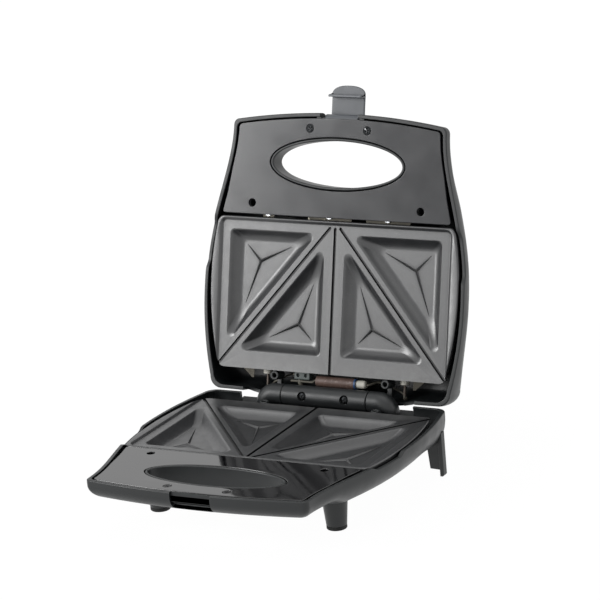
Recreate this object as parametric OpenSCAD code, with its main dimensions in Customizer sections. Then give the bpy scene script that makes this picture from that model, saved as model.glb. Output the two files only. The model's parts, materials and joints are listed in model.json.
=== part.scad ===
// Sandwich toaster: a base and a hinged lid, each with a cooking plate, and a front latch.
// Millimetres. Z is up, the floor is z = 0, the front edge faces -Y and the lid stands open.
// Plan points are [x, f], where f is the distance forward of the hinge axis.
// Each half is drawn on its own parting plane: depth runs down in the base and up in the lid.

/* [Overall shape] */
// Half of the overall width, at the widest place
body_half_w = 117; // [112:0.5:124]
// Distance forward of the hinge axis at which the body is widest
widest_f = 80; // [72:1:90]
// Half width of the handle end
handle_half_w = 95.5; // [92:0.5:100]
// Distance from the hinge axis to the middle of the front edge
front_f = 228.4; // [225:0.2:234]
// Radius of the bowed front edge, seen from above
front_arc_r = 566; // [450:2:900]
// Radius of the two front corners
front_corner_r = 5; // [3:0.5:8]
// How far the sides draw in from the widest place to the rear corners
rear_draw_in = 8.5; // [4:0.5:12]
// Radius of the two rear corners
rear_corner_r = 10; // [7:0.5:14]
// Height of the parting plane between the halves above the floor
parting_z = 50.3; // [48:0.1:56]
// Angle of the lid at rest, measured from closed
open_angle = 105; // [95:1:105]

/* [Housing shells] */
// Depth of the base below the parting plane, under the plate
base_depth = 26; // [25:0.5:28]
// Depth of the lid above the parting plane, over the plate
lid_depth = 34; // [32:0.5:40]
// Depth of both halves at the handle
handle_depth = 16.5; // [15:0.5:19]
// Extra height of the lid's crown at its centre line
lid_crown = 2; // [0:0.5:4]
// Wall thickness of both shells
wall = 2.4; // [2:0.1:2.8]
// Width of the rim that faces the parting plane
rim_w = 3; // [2.6:0.1:3.6]
// Gap between the two closed rims
rim_gap = 0.8; // [0.6:0.1:1.2]
// Depth of the relief in each side rim, beside the plate
scallop_depth = 3; // [1:0.5:4]
// Straight height of the side wall below the rim, beside the plate
side_band = 4; // [3.5:0.5:6]
// Straight height of the side wall below the rim, at the handle
handle_band = 5; // [4:0.5:7]
// How far the base wall draws in from rim to bottom
base_draw_in = 26; // [20:1:27]
// How far the lid wall draws in from rim to crown
lid_draw_in = 34; // [24:1:38]
// How far the handle wall draws in from rim to outside face
handle_draw_in = 12; // [8:1:13]
// How far the rear wall of the base draws in
rear_wall_draw_in = 8; // [4:1:10]
// How far the rear wall of the lid bows out behind the hinge axis
rear_bow = 5; // [3:0.5:5.5]
// Half width of the gap in the rear rim, around the hinge
rear_gap_half_w = 78; // [74:1:84]

/* [Handles] */
// Thickness of the handle panels
panel_t = 2.5; // [2:0.1:3]
// Space between a panel's side and the outside of the rim
panel_side_margin = 5.3; // [4.8:0.1:6]
// Space between a panel's front edge and the outside of the rim
panel_front_margin = 4.3; // [3.9:0.1:6]
// Distance of a panel's rear edge from the hinge axis
panel_rear_f = 144.2; // [143:0.2:147]
// Half length of the oval grip opening
oval_half_l = 57.9; // [50:0.1:60]
// Half height of the oval grip opening
oval_half_h = 18.6; // [14:0.1:19.5]
// Distance of the oval's centre from the hinge axis
oval_f = 187.5; // [186:0.5:189]
// Wall of the oval sleeve
sleeve_wall = 2.3; // [1.8:0.1:2.6]
// Gap between the oval sleeve and the panel
sleeve_gap = 0.7; // [0.4:0.1:1]
// Distance of the front panel screws from the centre line
panel_screw_x = 25.6; // [22:0.2:40]
// Distance of the front panel screws from the hinge axis
panel_screw_f = 215.4; // [214:0.2:217]
// Distance of the rear panel screws from the centre line
deep_screw_x = 75.7; // [66:0.1:82]
// Distance of the rear panel screws from the hinge axis
deep_screw_f = 153.3; // [152:0.1:156]

/* [Cooking plates] */
// Distance of a plate's rear edge from the hinge axis
plate_rear_f = 18.4; // [18.4:0.2:20]
// Distance of a plate's front edge from the hinge axis
plate_front_f = 142; // [140:0.2:142.4]
// Thickness of a plate at its wings
plate_t = 3.8; // [3.6:0.1:4]
// How far a plate's flat face lies below its wings
face_step = 1.8; // [1.4:0.1:2]
// Gap between a plate's wing and the inside of the rim, at the widest place
wing_gap = 2.3; // [1.5:0.1:3]
// Distance of the flat face's side edge from the widest place of the body
face_margin = 13.5; // [12:0.1:16]
// Depth of the pockets below the flat face
pocket_depth = 7.2; // [5:0.2:7.6]
// Corner radius of the pockets
pocket_r = 4; // [3:0.2:5]
// Land between the side edge of the flat face and the outer pockets
side_land = 8.7; // [7:0.1:11]
// Land between the plate's front edge and the outer pockets
front_land = 11.3; // [10:0.1:14]
// Land between the plate's rear edge and the inner pockets
rear_land = 14.6; // [13:0.1:16]
// Land between the centre groove and the inner pockets
centre_land = 9.7; // [9:0.1:12]
// Land between a diagonal groove and the pockets beside it
diagonal_land = 5.8; // [5:0.1:8]
// Width of the grooves in the plates
groove_w = 2.6; // [2:0.1:3]
// Depth of the grooves in the plates
groove_depth = 1.2; // [0.6:0.1:1.4]
// Gap between the faces of the two closed plates
plate_gap = 1; // [0.8:0.1:1.6]

/* [Heating] */
// Radius of the heating tubes
element_r = 3.2; // [2.8:0.1:3.4]
// Half distance between the two legs of a heating tube
element_half_w = 62; // [60:0.5:64]
// Distance of a heating tube's cross leg from the hinge axis
element_front_f = 106; // [96:0.5:112]
// Radius of a heating tube's bends
element_bend_r = 20; // [14:0.5:28]
// Sheet thickness of the reflectors
reflector_t = 0.6; // [0.5:0.05:0.8]
// Radius of the thermostat
thermostat_r = 8; // [6:0.2:8]
// Height of the thermostat
thermostat_h = 8; // [6:0.2:9]

/* [Hinge] */
// Outside radius of the barrel and the elbows
barrel_r = 8.3; // [7.6:0.1:8.4]
// Half length of the barrel
barrel_half_l = 38; // [36:0.5:42]
// Inside radius of the barrel's bore
barrel_bore_r = 5; // [4.6:0.1:5.4]
// Radial running clearance between elbow spigot and barrel
hinge_clearance = 0.07; // [0.03:0.01:0.1]
// End gap between barrel and elbow
hinge_end_gap = 0.4; // [0.3:0.05:0.8]
// Length of an elbow's spigot inside the barrel
spigot_l = 8; // [6:0.5:12]
// Distance of an elbow's leg from the centre line
elbow_x = 55.6; // [54.5:0.1:58]
// Gap between the barrel and the deck of the base
deck_gap = 1.2; // [0.8:0.1:1.6]
// Distance from the centre line to the barrel screws
barrel_screw_x = 19; // [16:0.5:24]

/* [Latch] */
// Half width of the latch
latch_half_w = 14.8; // [12:0.2:16]
// Distance of the latch pivot from the hinge axis
latch_pivot_f = 223.5; // [223:0.1:224]
// Height of the latch pivot over the parting plane
latch_pivot_z = 8.5; // [8:0.1:9]
// Distance from the latch pivot to its hook
hook_reach = 18; // [17.8:0.1:20]
// Distance from the latch pivot to its thumb tip
latch_tip_reach = 27.5; // [26:0.5:32]
// Thickness of the latch plate
latch_t = 2.4; // [2:0.1:3]
// Depth of the hook, towards the parting plane
hook_depth = 7.3; // [6.5:0.1:7.5]
// Gap between the latch and the sides of its notch
notch_gap = 2.4; // [1:0.1:3]
// Radius of the latch pin
latch_pin_r = 1.5; // [1.2:0.1:2]

/* [Feet and inlet] */
// Distance of the front feet from the widest place of the body
foot_margin = 39.5; // [37:0.5:47]
// Distance of the front feet from the hinge axis
foot_f = 144; // [140:0.5:145]
// Radius of a front foot at its top
foot_top_r = 10; // [8:0.2:11]
// Radius of a front foot at its rubber tip
foot_tip_r = 8; // [6.5:0.1:9]
// Height of the rubber tip under a front foot
foot_tip_h = 3; // [2:0.1:4]
// Thickness of a rear leg's side wall
leg_t = 3.4; // [3:0.1:4]
// Front face of a rear leg, forward of the hinge axis
leg_front_f = 20; // [19:0.5:22]
// Rear face of a rear leg, forward of the hinge axis
leg_rear_f = 14; // [12:0.5:15]
// Width of a rear leg's back plate
leg_plate_w = 13; // [10:0.5:16]
// Space under a rear leg's back plate
leg_plate_clear = 4; // [2:0.5:8]
// Radius of the hole in the mains inlet gland
inlet_bore_r = 3.3; // [2.5:0.1:3.6]
// Distance of the mains inlet from the centre line
inlet_x = 30; // [20:1:45]

/* [Hidden] */
tiny = 0.01;
seat_gap = 0.05;
round_fn = 48;

// Colours
housing_colour = [0.24, 0.26, 0.26];
lid_panel_colour = [0.50, 0.50, 0.50];
base_panel_colour = [0.10, 0.10, 0.11];
plate_colour = [0.40, 0.40, 0.41];
steel_colour = [0.75, 0.75, 0.77];
tube_colour = [0.35, 0.33, 0.31];
ceramic_colour = [0.88, 0.88, 0.84];
rubber_colour = [0.06, 0.06, 0.06];
latch_colour = [0.45, 0.47, 0.48];
fuse_colour = [0.40, 0.32, 0.29];
lead_colour = [0.80, 0.78, 0.70];
power_lens_colour = [0.75, 0.06, 0.04];
ready_lens_colour = [0.10, 0.55, 0.12];

// Curves shared by both halves
function mix(a, b, t) = a + (b - a) * t;
function smooth(t) = let(u = max(0, min(1, t))) u * u * (3 - 2 * u);
function front_edge(x) = front_f - (front_arc_r - sqrt(front_arc_r * front_arc_r - x * x));
front_corner_f = front_edge(handle_half_w - front_corner_r) - front_corner_r;
neck_bias = 1.25;
rear_edge_in = 0.5;
rear_side_f = rear_corner_r + rear_edge_in;
function neck_share(f) =
  pow(max(0, min(1, (f - widest_f) / (front_corner_f - widest_f))), neck_bias);
function side_x(f) = f > widest_f
  ? mix(body_half_w, handle_half_w, smooth(neck_share(f)))
  : body_half_w - rear_draw_in * pow((widest_f - f) / (widest_f - rear_side_f), 2);
rear_half_w = side_x(rear_side_f);

// Share of the handle's section: 0 over the plate, 1 at the handle
handle_start_f = plate_front_f + 14;
handle_full_f = oval_f - 1.5;
function handle_share(f) = smooth((f - handle_start_f) / (handle_full_f - handle_start_f));

// Right half of the outline, from the middle of the front edge to the middle of the rear edge.
// Each entry is [x, f, share of the rear bow].
front_steps = 6;
corner_steps = 3;
side_steps = 22;
rear_steps = 5;
bow_half_w = rear_gap_half_w - 2;
straight_front_w = handle_half_w - front_corner_r;
straight_rear_w = rear_half_w - rear_corner_r;
half_outline = concat(
  [for (i = [0:front_steps]) let(x = straight_front_w * i / front_steps) [x, front_edge(x), 0]],
  [for (i = [1:corner_steps]) let(a = 90 * i / corner_steps)
    [straight_front_w + front_corner_r * sin(a), front_corner_f + front_corner_r * cos(a), 0]],
  [for (i = [1:side_steps]) let(f = mix(front_corner_f, rear_side_f, i / side_steps))
    [side_x(f), f, 0]],
  [for (i = [1:corner_steps]) let(a = 90 * i / corner_steps)
    [straight_rear_w + rear_corner_r * cos(a), rear_side_f - rear_corner_r * sin(a), 0]],
  [for (i = [1:rear_steps]) let(x = straight_rear_w * (1 - i / rear_steps))
    [x, rear_edge_in * pow(x / straight_rear_w, 2), 1 - pow(min(1, x / bow_half_w), 4)]]
);
half_count = len(half_outline);
ring_count = 2 * half_count - 2;
middle_f = front_f / 2;

// Draw-in of the side wall at a distance f, for a full draw-in under the plate
function side_draw_in(f, body_draw_in) =
  mix(mix(rear_wall_draw_in, body_draw_in, smooth(f / 60)), handle_draw_in, handle_share(f));
function section_depth(f, body_depth) = mix(body_depth, handle_depth, handle_share(f));
function section_band(f) = mix(side_band, handle_band, handle_share(f));
scallop_edge_w = 8;
scallop_rear_f = 97;
function scallop(f) = scallop_depth * smooth((f - scallop_rear_f) / scallop_edge_w)
  * smooth((plate_front_f - f) / scallop_edge_w);

// A plan point moved in by inset_x at the sides and inset_f at front and rear
function drawn_in(p, inset_x, inset_f) = [
  p[0] * (1 - inset_x / side_x(min(p[1], front_corner_f))),
  p[1] > middle_f
    ? middle_f + (p[1] - middle_f) * (1 - inset_f / (front_f - middle_f))
    : middle_f - (middle_f - p[1]) * (1 - inset_f / middle_f)
];

// Ring of a shell's surface at angle a of its section: 0 at the rim, 90 at the outside face
function section_ring(a, skin, body_depth, body_draw_in, bow) = [
  for (p = half_outline)
    let(
      curve_in = 1 - cos(a),
      curve_down = sin(a),
      band = section_band(p[1]),
      full = section_depth(p[1], body_depth) - skin,
      inset_x = side_draw_in(p[1], body_draw_in) * curve_in + skin,
      inset_f = mix(rear_wall_draw_in, handle_draw_in, handle_share(p[1])) * curve_in + skin,
      q = drawn_in(p, inset_x, inset_f),
      depth = band + (full - band) * curve_down
    )
    [q[0], -(q[1] - bow * p[2] * cos(a)), -depth]
];
function rim_ring(inset) = [
  for (p = half_outline) let(q = drawn_in(p, inset, inset))
    [q[0], -q[1], -rim_gap / 2 - scallop(p[1])]
];
function whole_ring(half) =
  concat(half, [for (i = [half_count - 2:-1:1]) [-half[i][0], half[i][1], half[i][2]]]);

// The outside or inside face: a grid between the two halves of its last ring
crown_columns = 4;
function crown_points(half, crown) = [
  for (i = [1:half_count - 2])
    for (c = [1:crown_columns - 1])
      let(s = 1 - 2 * c / crown_columns, share = 1 - handle_share(-half[i][1]))
      [half[i][0] * s, half[i][1], half[i][2] - crown * share * (1 - s * s)]
];
function crown_index(i, c, ring_start, grid_start) =
  c == 0 || i == 0 || i == half_count - 1 ? ring_start + i
  : c == crown_columns ? ring_start + ring_count - i
  : grid_start + (i - 1) * (crown_columns - 1) + c - 1;
function crown_faces(ring_start, grid_start, outside) = [
  for (i = [0:half_count - 2])
    for (c = [0:crown_columns - 1])
      let(
        a = crown_index(i, c, ring_start, grid_start),
        b = crown_index(i + 1, c, ring_start, grid_start),
        d = crown_index(i + 1, c + 1, ring_start, grid_start),
        e = crown_index(i, c + 1, ring_start, grid_start),
        loop = i == 0 ? [a, b, d] : i == half_count - 2 ? [a, b, e] : [a, b, d, e]
      )
      outside ? loop : [for (k = [len(loop) - 1:-1:0]) loop[k]]
];
function band_faces(upper, lower) = [
  for (i = [0:ring_count - 1]) let(n = (i + 1) % ring_count)
    [upper + i, upper + n, lower + n, lower + i]
];

outer_steps = 7;
inner_steps = 5;
// Open shell of one half, with its rim at the parting plane and its depth downwards
module half_shell(body_depth, body_draw_in, bow, crown) {
  outer = concat(
    [rim_ring(0)],
    [for (k = [0:outer_steps]) section_ring(90 * k / outer_steps, 0, body_depth, body_draw_in, bow)]
  );
  inner = concat(
    [rim_ring(rim_w)],
    [for (k = [0:inner_steps])
      section_ring(90 * k / inner_steps, wall, body_depth, body_draw_in, bow)]
  );
  outer_n = len(outer);
  inner_n = len(inner);
  inner_start = outer_n * ring_count;
  outer_grid = (outer_n + inner_n) * ring_count;
  inner_grid = outer_grid + (half_count - 2) * (crown_columns - 1);
  points = concat(
    [for (ring = outer) each whole_ring(ring)],
    [for (ring = inner) each whole_ring(ring)],
    crown_points(outer[outer_n - 1], crown),
    crown_points(inner[inner_n - 1], crown)
  );
  faces = concat(
    band_faces(inner_start, 0),
    [for (k = [0:outer_n - 2]) each band_faces(k * ring_count, (k + 1) * ring_count)],
    [for (k = [0:inner_n - 2])
      each band_faces(inner_start + (k + 1) * ring_count, inner_start + k * ring_count)],
    crown_faces((outer_n - 1) * ring_count, outer_grid, true),
    crown_faces(inner_start + (inner_n - 1) * ring_count, inner_grid, false)
  );
  polyhedron(points, faces, convexity = 8);
}

// How far the crown rises above the edge of the outside face
function crown_rise(x, f, body_draw_in, crown) = crown * (1 - handle_share(f))
  * max(0, 1 - pow(x / (side_x(f) - body_draw_in), 2));

// Placement of the two halves
latch_plate_inner = handle_depth - 0.5 - latch_pivot_z;
latch_web_half = 3;
latch_dish = 0.7;
latch_tip_drop = 0.9;
latch_steps = 12;
latch_outer_row = [
  for (i = [0:latch_steps]) let(t = i / latch_steps)
    [mix(-latch_web_half, latch_tip_reach, t),
      latch_plate_inner + latch_t - latch_dish * sin(180 * t) - (i == latch_steps ? latch_tip_drop : 0)]
];
notch_half_w = latch_half_w + notch_gap;
// Furthest points of the open lid behind the hinge axis, as [f, depth]
lid_far_points = concat(
  [[handle_start_f, lid_depth + lid_crown]],
  [for (p = latch_outer_row) [latch_pivot_f + p[0], latch_pivot_z + p[1]]]
);
rear_reach = max([for (p = lid_far_points) p[1] * sin(open_angle) - p[0] * cos(open_angle)]);
centre_y = (front_edge(notch_half_w) - rear_reach) / 2;
module in_base() {
  translate([0, centre_y, parting_z]) children();
}
module in_lid() {
  translate([0, centre_y, parting_z]) rotate([-open_angle, 0, 0]) children();
}
module in_lid_from_base() {
  in_lid() mirror([0, 0, 1]) children();
}
module both_sides() {
  children();
  mirror([1, 0, 0]) children();
}

// Grip opening
function ellipse(a, b, n) = [for (i = [0:n - 1]) [a * cos(360 * i / n), b * sin(360 * i / n)]];
ellipse_steps = 56;
module oval(grow) {
  translate([0, -oval_f]) polygon(ellipse(oval_half_l + grow, oval_half_h + grow, ellipse_steps));
}
// Sleeve around the grip opening, whose lower end follows the shell's outside face
module oval_sleeve(body_depth) {
  grow = sleeve_wall;
  loop = ellipse(oval_half_l + grow, oval_half_h + grow, ellipse_steps);
  top = [for (p = loop) [p[0], p[1] - oval_f, -rim_gap / 2]];
  bottom = [for (p = loop)
    [p[0], p[1] - oval_f, -section_depth(oval_f - p[1], body_depth) + wall / 2]];
  n = ellipse_steps;
  polyhedron(
    concat(top, bottom),
    concat(
      [[for (i = [n - 1:-1:0]) i]],
      [for (k = [0:n / 2 - 1])
        let(
          a = n + (n / 4 - k + n) % n,
          b = n + (n / 4 - k - 1 + n) % n,
          c = n + (n / 4 + k) % n,
          d = n + (n / 4 + k + 1) % n
        )
        k == 0 ? [a, d, b] : k == n / 2 - 1 ? [a, c, b] : [a, c, d, b]],
      [for (i = [0:n - 1]) [i, (i + 1) % n, n + (i + 1) % n, n + i]]
    )
  );
}

// Handle panel
panel_taper = 1.6;
function panel_neck_taper(f) = panel_taper * (1 - handle_share(f));
panel_seat_z = -rim_gap / 2 - panel_t;
panel_front_shift = panel_front_margin;
panel_half = concat(
  [for (i = [0:front_steps])
    let(x = (handle_half_w - panel_side_margin) * i / front_steps)
    [x, front_edge(x) - panel_front_shift]],
  [for (i = [1:side_steps])
    let(
      top_f = front_edge(handle_half_w - panel_side_margin) - panel_front_shift,
      f = mix(top_f, panel_rear_f, i / side_steps)
    )
    [side_x(min(f, front_corner_f)) - panel_side_margin - panel_neck_taper(f), f]]
);
function mirrored_loop(half) = concat(
  [for (p = half) [p[0], -p[1]]],
  [for (i = [len(half) - 1:-1:0]) if (half[i][0] > tiny) [-half[i][0], -half[i][1]]]
);
screw_hole_r = 1.75;
deep_hole_r = 3.2;
screw_head_r = 3.3;
screw_head_h = 1.7;
screw_shank_r = 1.5;
screw_thread_hole_r = 1.55;
boss_r = 4;
head_sink = 0.3;
module handle_panel() {
  difference() {
    translate([0, 0, panel_seat_z]) linear_extrude(panel_t) difference() {
      polygon(mirrored_loop(panel_half));
      oval(sleeve_wall + sleeve_gap);
    }
    both_sides() {
      translate([panel_screw_x, -panel_screw_f, panel_seat_z - 1])
        cylinder(r = screw_hole_r, h = panel_t + 2, $fn = round_fn);
      translate([panel_screw_x, -panel_screw_f, panel_seat_z + panel_t - screw_head_h - head_sink])
        cylinder(r = screw_head_r + seat_gap, h = panel_t, $fn = round_fn);
      translate([deep_screw_x, -deep_screw_f, panel_seat_z - 1])
        cylinder(r = deep_hole_r, h = panel_t + 2, $fn = round_fn);
    }
  }
}
deep_head_z = panel_seat_z - 6;
panel_screw_l = 8;
module cross_screw(length, head_r, head_h, shank_r) {
  difference() {
    union() {
      cylinder(r = head_r, h = head_h, $fn = round_fn);
      translate([0, 0, -length]) cylinder(r = shank_r, h = length + tiny, $fn = round_fn);
    }
    for (turn = [0, 90])
      rotate([0, 0, turn]) translate([-head_r * 0.6, -0.35, head_h - 0.9])
        cube([head_r * 1.2, 0.7, 1]);
  }
}
module panel_screws() {
  both_sides() {
    translate([panel_screw_x, -panel_screw_f, panel_seat_z + panel_t - screw_head_h - head_sink])
      cross_screw(panel_screw_l, screw_head_r, screw_head_h, screw_shank_r);
    translate([deep_screw_x, -deep_screw_f, deep_head_z])
      cross_screw(panel_screw_l, deep_hole_r - 0.3, screw_head_h, screw_shank_r);
  }
}
// Bosses under the panel, and the holes that they take
module panel_bosses(body_depth) {
  front_floor = section_depth(panel_screw_f, body_depth) - wall / 2;
  deep_floor = section_depth(deep_screw_f, body_depth) - wall / 2;
  both_sides() {
    translate([panel_screw_x, -panel_screw_f, -front_floor])
      cylinder(r = boss_r, h = front_floor + panel_seat_z, $fn = round_fn);
    translate([deep_screw_x, -deep_screw_f, -deep_floor])
      cylinder(r = boss_r + 1.5, h = deep_floor + panel_seat_z, $fn = round_fn);
  }
}
module panel_boss_holes() {
  both_sides() {
    translate([panel_screw_x, -panel_screw_f, panel_seat_z - panel_screw_l])
      cylinder(r = screw_thread_hole_r, h = panel_screw_l + 1, $fn = round_fn);
    translate([deep_screw_x, -deep_screw_f, deep_head_z])
      cylinder(r = deep_hole_r, h = 10, $fn = round_fn);
    translate([deep_screw_x, -deep_screw_f, deep_head_z - panel_screw_l - 0.5])
      cylinder(r = screw_thread_hole_r, h = panel_screw_l + 1, $fn = round_fn);
  }
}

// Deck of the base behind the lower plate, under the hinge barrel
deck_z = -barrel_r - deck_gap;
elbow_bore_r = barrel_bore_r - 1.6;
elbow_bend_r = barrel_r + 0.4;
deck_front_f = plate_rear_f - 0.5;
rear_tab_z = deck_z + seat_gap;

// Cooking plate
wing_z = -plate_gap / 2;
plate_face_z = wing_z - face_step;
plate_under_z = wing_z - plate_t;
face_half_w = body_half_w - face_margin;
wing_half_w = body_half_w - rim_w - wing_gap;
plate_corner_in = 0.5;
function plate_side(f) = let(
    front_x = side_x(plate_front_f) - rim_w - 1.2,
    rear_x = side_x(plate_rear_f) - rim_w - wing_gap - 3.5,
    t = (f - plate_rear_f) / (plate_front_f - plate_rear_f),
    chord = mix(rear_x, front_x, t),
    bulge = wing_half_w - mix(rear_x, front_x, 0.55)
  )
  chord + bulge * (1 - pow(2 * t - 1, 2));
plate_steps = 12;
plate_corner_r = 4;
plate_half = concat(
  [[0, plate_front_f], [plate_side(plate_front_f) - plate_corner_in, plate_front_f]],
  [for (i = [1:plate_steps - 1])
    let(f = mix(plate_front_f, plate_rear_f + plate_corner_r, i / plate_steps)) [plate_side(f), f]],
  [for (i = [0:3]) let(a = 30 * i, cx = plate_side(plate_rear_f + plate_corner_r) - plate_corner_r)
    [cx + plate_corner_r * cos(a), plate_rear_f + plate_corner_r - plate_corner_r * sin(a)]],
  [[0, plate_rear_f]]
);

// Grooves: along the middle and along both diagonals
groove_top = [2.2, plate_front_f - 3];
groove_end = [face_half_w - 2, plate_rear_f + 3.2];
groove_run = groove_end - groove_top;
groove_dir = groove_run / norm(groove_run);
groove_normal = [-groove_dir[1], groove_dir[0]];
module groove(from, to) {
  run = to - from;
  translate([from[0], -from[1], plate_face_z])
    rotate([0, 0, atan2(-run[1], run[0])])
      translate([0, -groove_w / 2, -groove_depth]) cube([norm(run), groove_w, 2]);
}
groove_end_in = 4;
module plate_grooves() {
  groove([0, plate_rear_f - 1], [0, plate_front_f - groove_end_in - 1.5]);
  both_sides() groove(groove_top + groove_dir * 3, groove_end);
}

// Recess of the flat face: its side and front edges slope down from the wings
face_slope_w = 2.5;
face_rim_w = 1.2;
face_corner_r = 6;
function face_points(inset, z) = let(
    half_w = face_half_w + face_slope_w / 2 - inset,
    front = plate_front_f - face_rim_w - inset,
    r = face_corner_r - inset,
    half = concat(
      [[half_w, plate_rear_f - 1]],
      [for (a = [0:15:90]) [half_w - r + r * cos(a), front - r + r * sin(a)]]
    )
  ) concat(
    [for (p = half) [p[0], -p[1], z]],
    [for (i = [len(half) - 1:-1:0]) [-half[i][0], -half[i][1], z]]
  );
module face_recess() {
  upper = face_points(0, wing_z + 1);
  edge = face_points(0, wing_z);
  lower = face_points(face_slope_w, plate_face_z);
  n = len(upper);
  points = concat(upper, edge, lower);
  faces = concat(
    [[for (i = [0:n - 1]) i]],
    [[for (i = [n - 1:-1:0]) 2 * n + i]],
    [for (k = [0:1]) for (i = [0:n - 1])
      [k * n + i, (k + 1) * n + i, (k + 1) * n + (i + 1) % n, k * n + (i + 1) % n]]
  );
  polyhedron(points, faces);
}

// Pocket corners, where the lines that bound a pocket cross
function diagonal_at_f(f, offset) =
  let(p = groove_top + groove_normal * offset) p[0] + (f - p[1]) * groove_dir[0] / groove_dir[1];
function diagonal_at_x(x, offset) =
  let(p = groove_top + groove_normal * offset) p[1] + (x - p[0]) * groove_dir[1] / groove_dir[0];
outer_x = face_half_w - side_land;
outer_f = plate_front_f - front_land;
inner_x = centre_land;
inner_f = plate_rear_f + rear_land;
outer_pocket = [
  [outer_x, outer_f],
  [diagonal_at_f(outer_f, diagonal_land), outer_f],
  [outer_x, diagonal_at_x(outer_x, diagonal_land)]
];
inner_pocket = [
  [inner_x, inner_f],
  [diagonal_at_f(inner_f, -diagonal_land), inner_f],
  [inner_x, diagonal_at_x(inner_x, -diagonal_land)]
];
// Centre of a triangle's inscribed circle
function incentre(t) = let(
    a = norm(t[1] - t[2]), b = norm(t[2] - t[0]), c = norm(t[0] - t[1])
  ) (t[0] * a + t[1] * b + t[2] * c) / (a + b + c);
function inradius(t) = let(
    a = norm(t[1] - t[2]), b = norm(t[2] - t[0]), c = norm(t[0] - t[1]), s = (a + b + c) / 2
  ) sqrt((s - a) * (s - b) * (s - c) / s);
// Loop of a triangle moved in by inset, with round corners
function arc_angles(from, to, steps) = let(turn = ((to - from) % 360 + 540) % 360 - 180)
  [for (i = [0:steps]) from + turn * i / steps];
function edge_normal_angle(t, i) = let(
    p = t[i], q = t[(i + 1) % 3], mid = (p + q) / 2, away = mid - incentre(t),
    d = q - p, n = [d[1], -d[0]]
  ) n * away > 0 ? atan2(n[1], n[0]) : atan2(-n[1], -n[0]);
corner_arc_steps = 4;
function rounded_triangle(t, inset, r) = let(
    centre = incentre(t), radius = inradius(t), k = 1 - (inset + r) / radius
  ) [
    for (i = [0:2])
      let(corner = centre + (t[i] - centre) * k)
      for (a = arc_angles(edge_normal_angle(t, (i + 2) % 3), edge_normal_angle(t, i), corner_arc_steps))
        corner + r * [cos(a), sin(a)]
  ];
// Solid whose rings are one triangle at several [inset, z] steps
module triangle_loft(t, steps, r) {
  rings = [for (s = steps) [for (p = rounded_triangle(t, s[0], r)) [p[0], -p[1], s[1]]]];
  n = len(rings[0]);
  turn_sign = cross(t[1] - t[0], t[2] - t[0]) > 0 ? 1 : -1;
  points = [for (ring = rings) each ring];
  faces = concat(
    [[for (i = [0:n - 1]) i]],
    [[for (i = [n - 1:-1:0]) (len(steps) - 1) * n + i]],
    [for (k = [0:len(steps) - 2]) for (i = [0:n - 1])
      [k * n + i, (k + 1) * n + i, (k + 1) * n + (i + 1) % n, k * n + (i + 1) % n]]
  );
  polyhedron(points,
    turn_sign > 0 ? faces : [for (f = faces) [for (k = [len(f) - 1:-1:0]) f[k]]]);
}
pocket_slope_w = 9;
pocket_floor_z = plate_face_z - pocket_depth;
module pocket_cut(t) {
  triangle_loft(t, [
    [0, plate_face_z + 3],
    [0, plate_face_z],
    [pocket_slope_w * 0.3, plate_face_z - pocket_depth * 0.55],
    [pocket_slope_w * 0.62, plate_face_z - pocket_depth * 0.86],
    [pocket_slope_w, pocket_floor_z]
  ], pocket_r);
}
pocket_wall = 1.8;
module pocket_bowl(t) {
  triangle_loft(t, [
    [-pocket_wall, plate_under_z + 0.2],
    [pocket_slope_w * 0.3 - pocket_wall, plate_face_z - pocket_depth * 0.55 - pocket_wall * 0.4],
    [pocket_slope_w * 0.62 - pocket_wall, plate_face_z - pocket_depth * 0.86 - pocket_wall * 0.8],
    [pocket_slope_w - pocket_wall * 0.5, pocket_floor_z - pocket_wall]
  ], pocket_r + pocket_wall);
}
// Tapered rib from a pocket's centre towards one corner
rib_h = 1.4;
rib_half_w = 1.3;
rib_share = 0.52;
module pocket_rib(from, to) {
  run = to - from;
  tip = from + run * rib_share;
  side = [-run[1], run[0]] / norm(run);
  a = from + side * rib_half_w;
  b = from - side * rib_half_w;
  z = pocket_floor_z;
  sunk = z - pocket_wall / 2;
  polyhedron(
    [
      [a[0], -a[1], sunk], [b[0], -b[1], sunk], [tip[0], -tip[1], sunk],
      [from[0], -from[1], z + rib_h], [a[0], -a[1], z], [b[0], -b[1], z], [tip[0], -tip[1], z + 0.2]
    ],
    [[0, 2, 1], [0, 1, 5], [0, 5, 3], [0, 3, 4], [0, 4, 6], [0, 6, 2], [1, 2, 6], [1, 6, 5],
      [3, 6, 4], [3, 5, 6]]
  );
}
module pocket_star(t) {
  centre = incentre(t);
  for (corner = t)
    pocket_rib(centre, corner);
}

// Screws that hold plate and reflector together
plate_boss_r = 3.6;
plate_screw_front = [element_half_w, plate_front_f - front_land / 2];
plate_screw_rear = [30, plate_rear_f + rear_land / 2];
reflector_z = pocket_floor_z - pocket_wall - 2 * element_r - 2 * seat_gap;
reflector_under_z = reflector_z - reflector_t;
element_z = reflector_z + seat_gap + element_r;
plate_boss_hole_l = 8;
module plate_bosses() {
  for (p = [plate_screw_front, plate_screw_rear])
    both_sides() translate([p[0], -p[1], reflector_z]) difference() {
      cylinder(r = plate_boss_r, h = plate_under_z - reflector_z + tiny, $fn = round_fn);
      translate([0, 0, -1])
        cylinder(r = screw_thread_hole_r, h = plate_boss_hole_l + 1, $fn = round_fn);
    }
}
plate_screw_l = 6;
module plate_screws() {
  for (p = [plate_screw_front, plate_screw_rear])
    both_sides() translate([p[0], -p[1], reflector_under_z])
      mirror([0, 0, 1]) cross_screw(plate_screw_l, screw_head_r - 0.5, screw_head_h, screw_shank_r);
}
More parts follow.
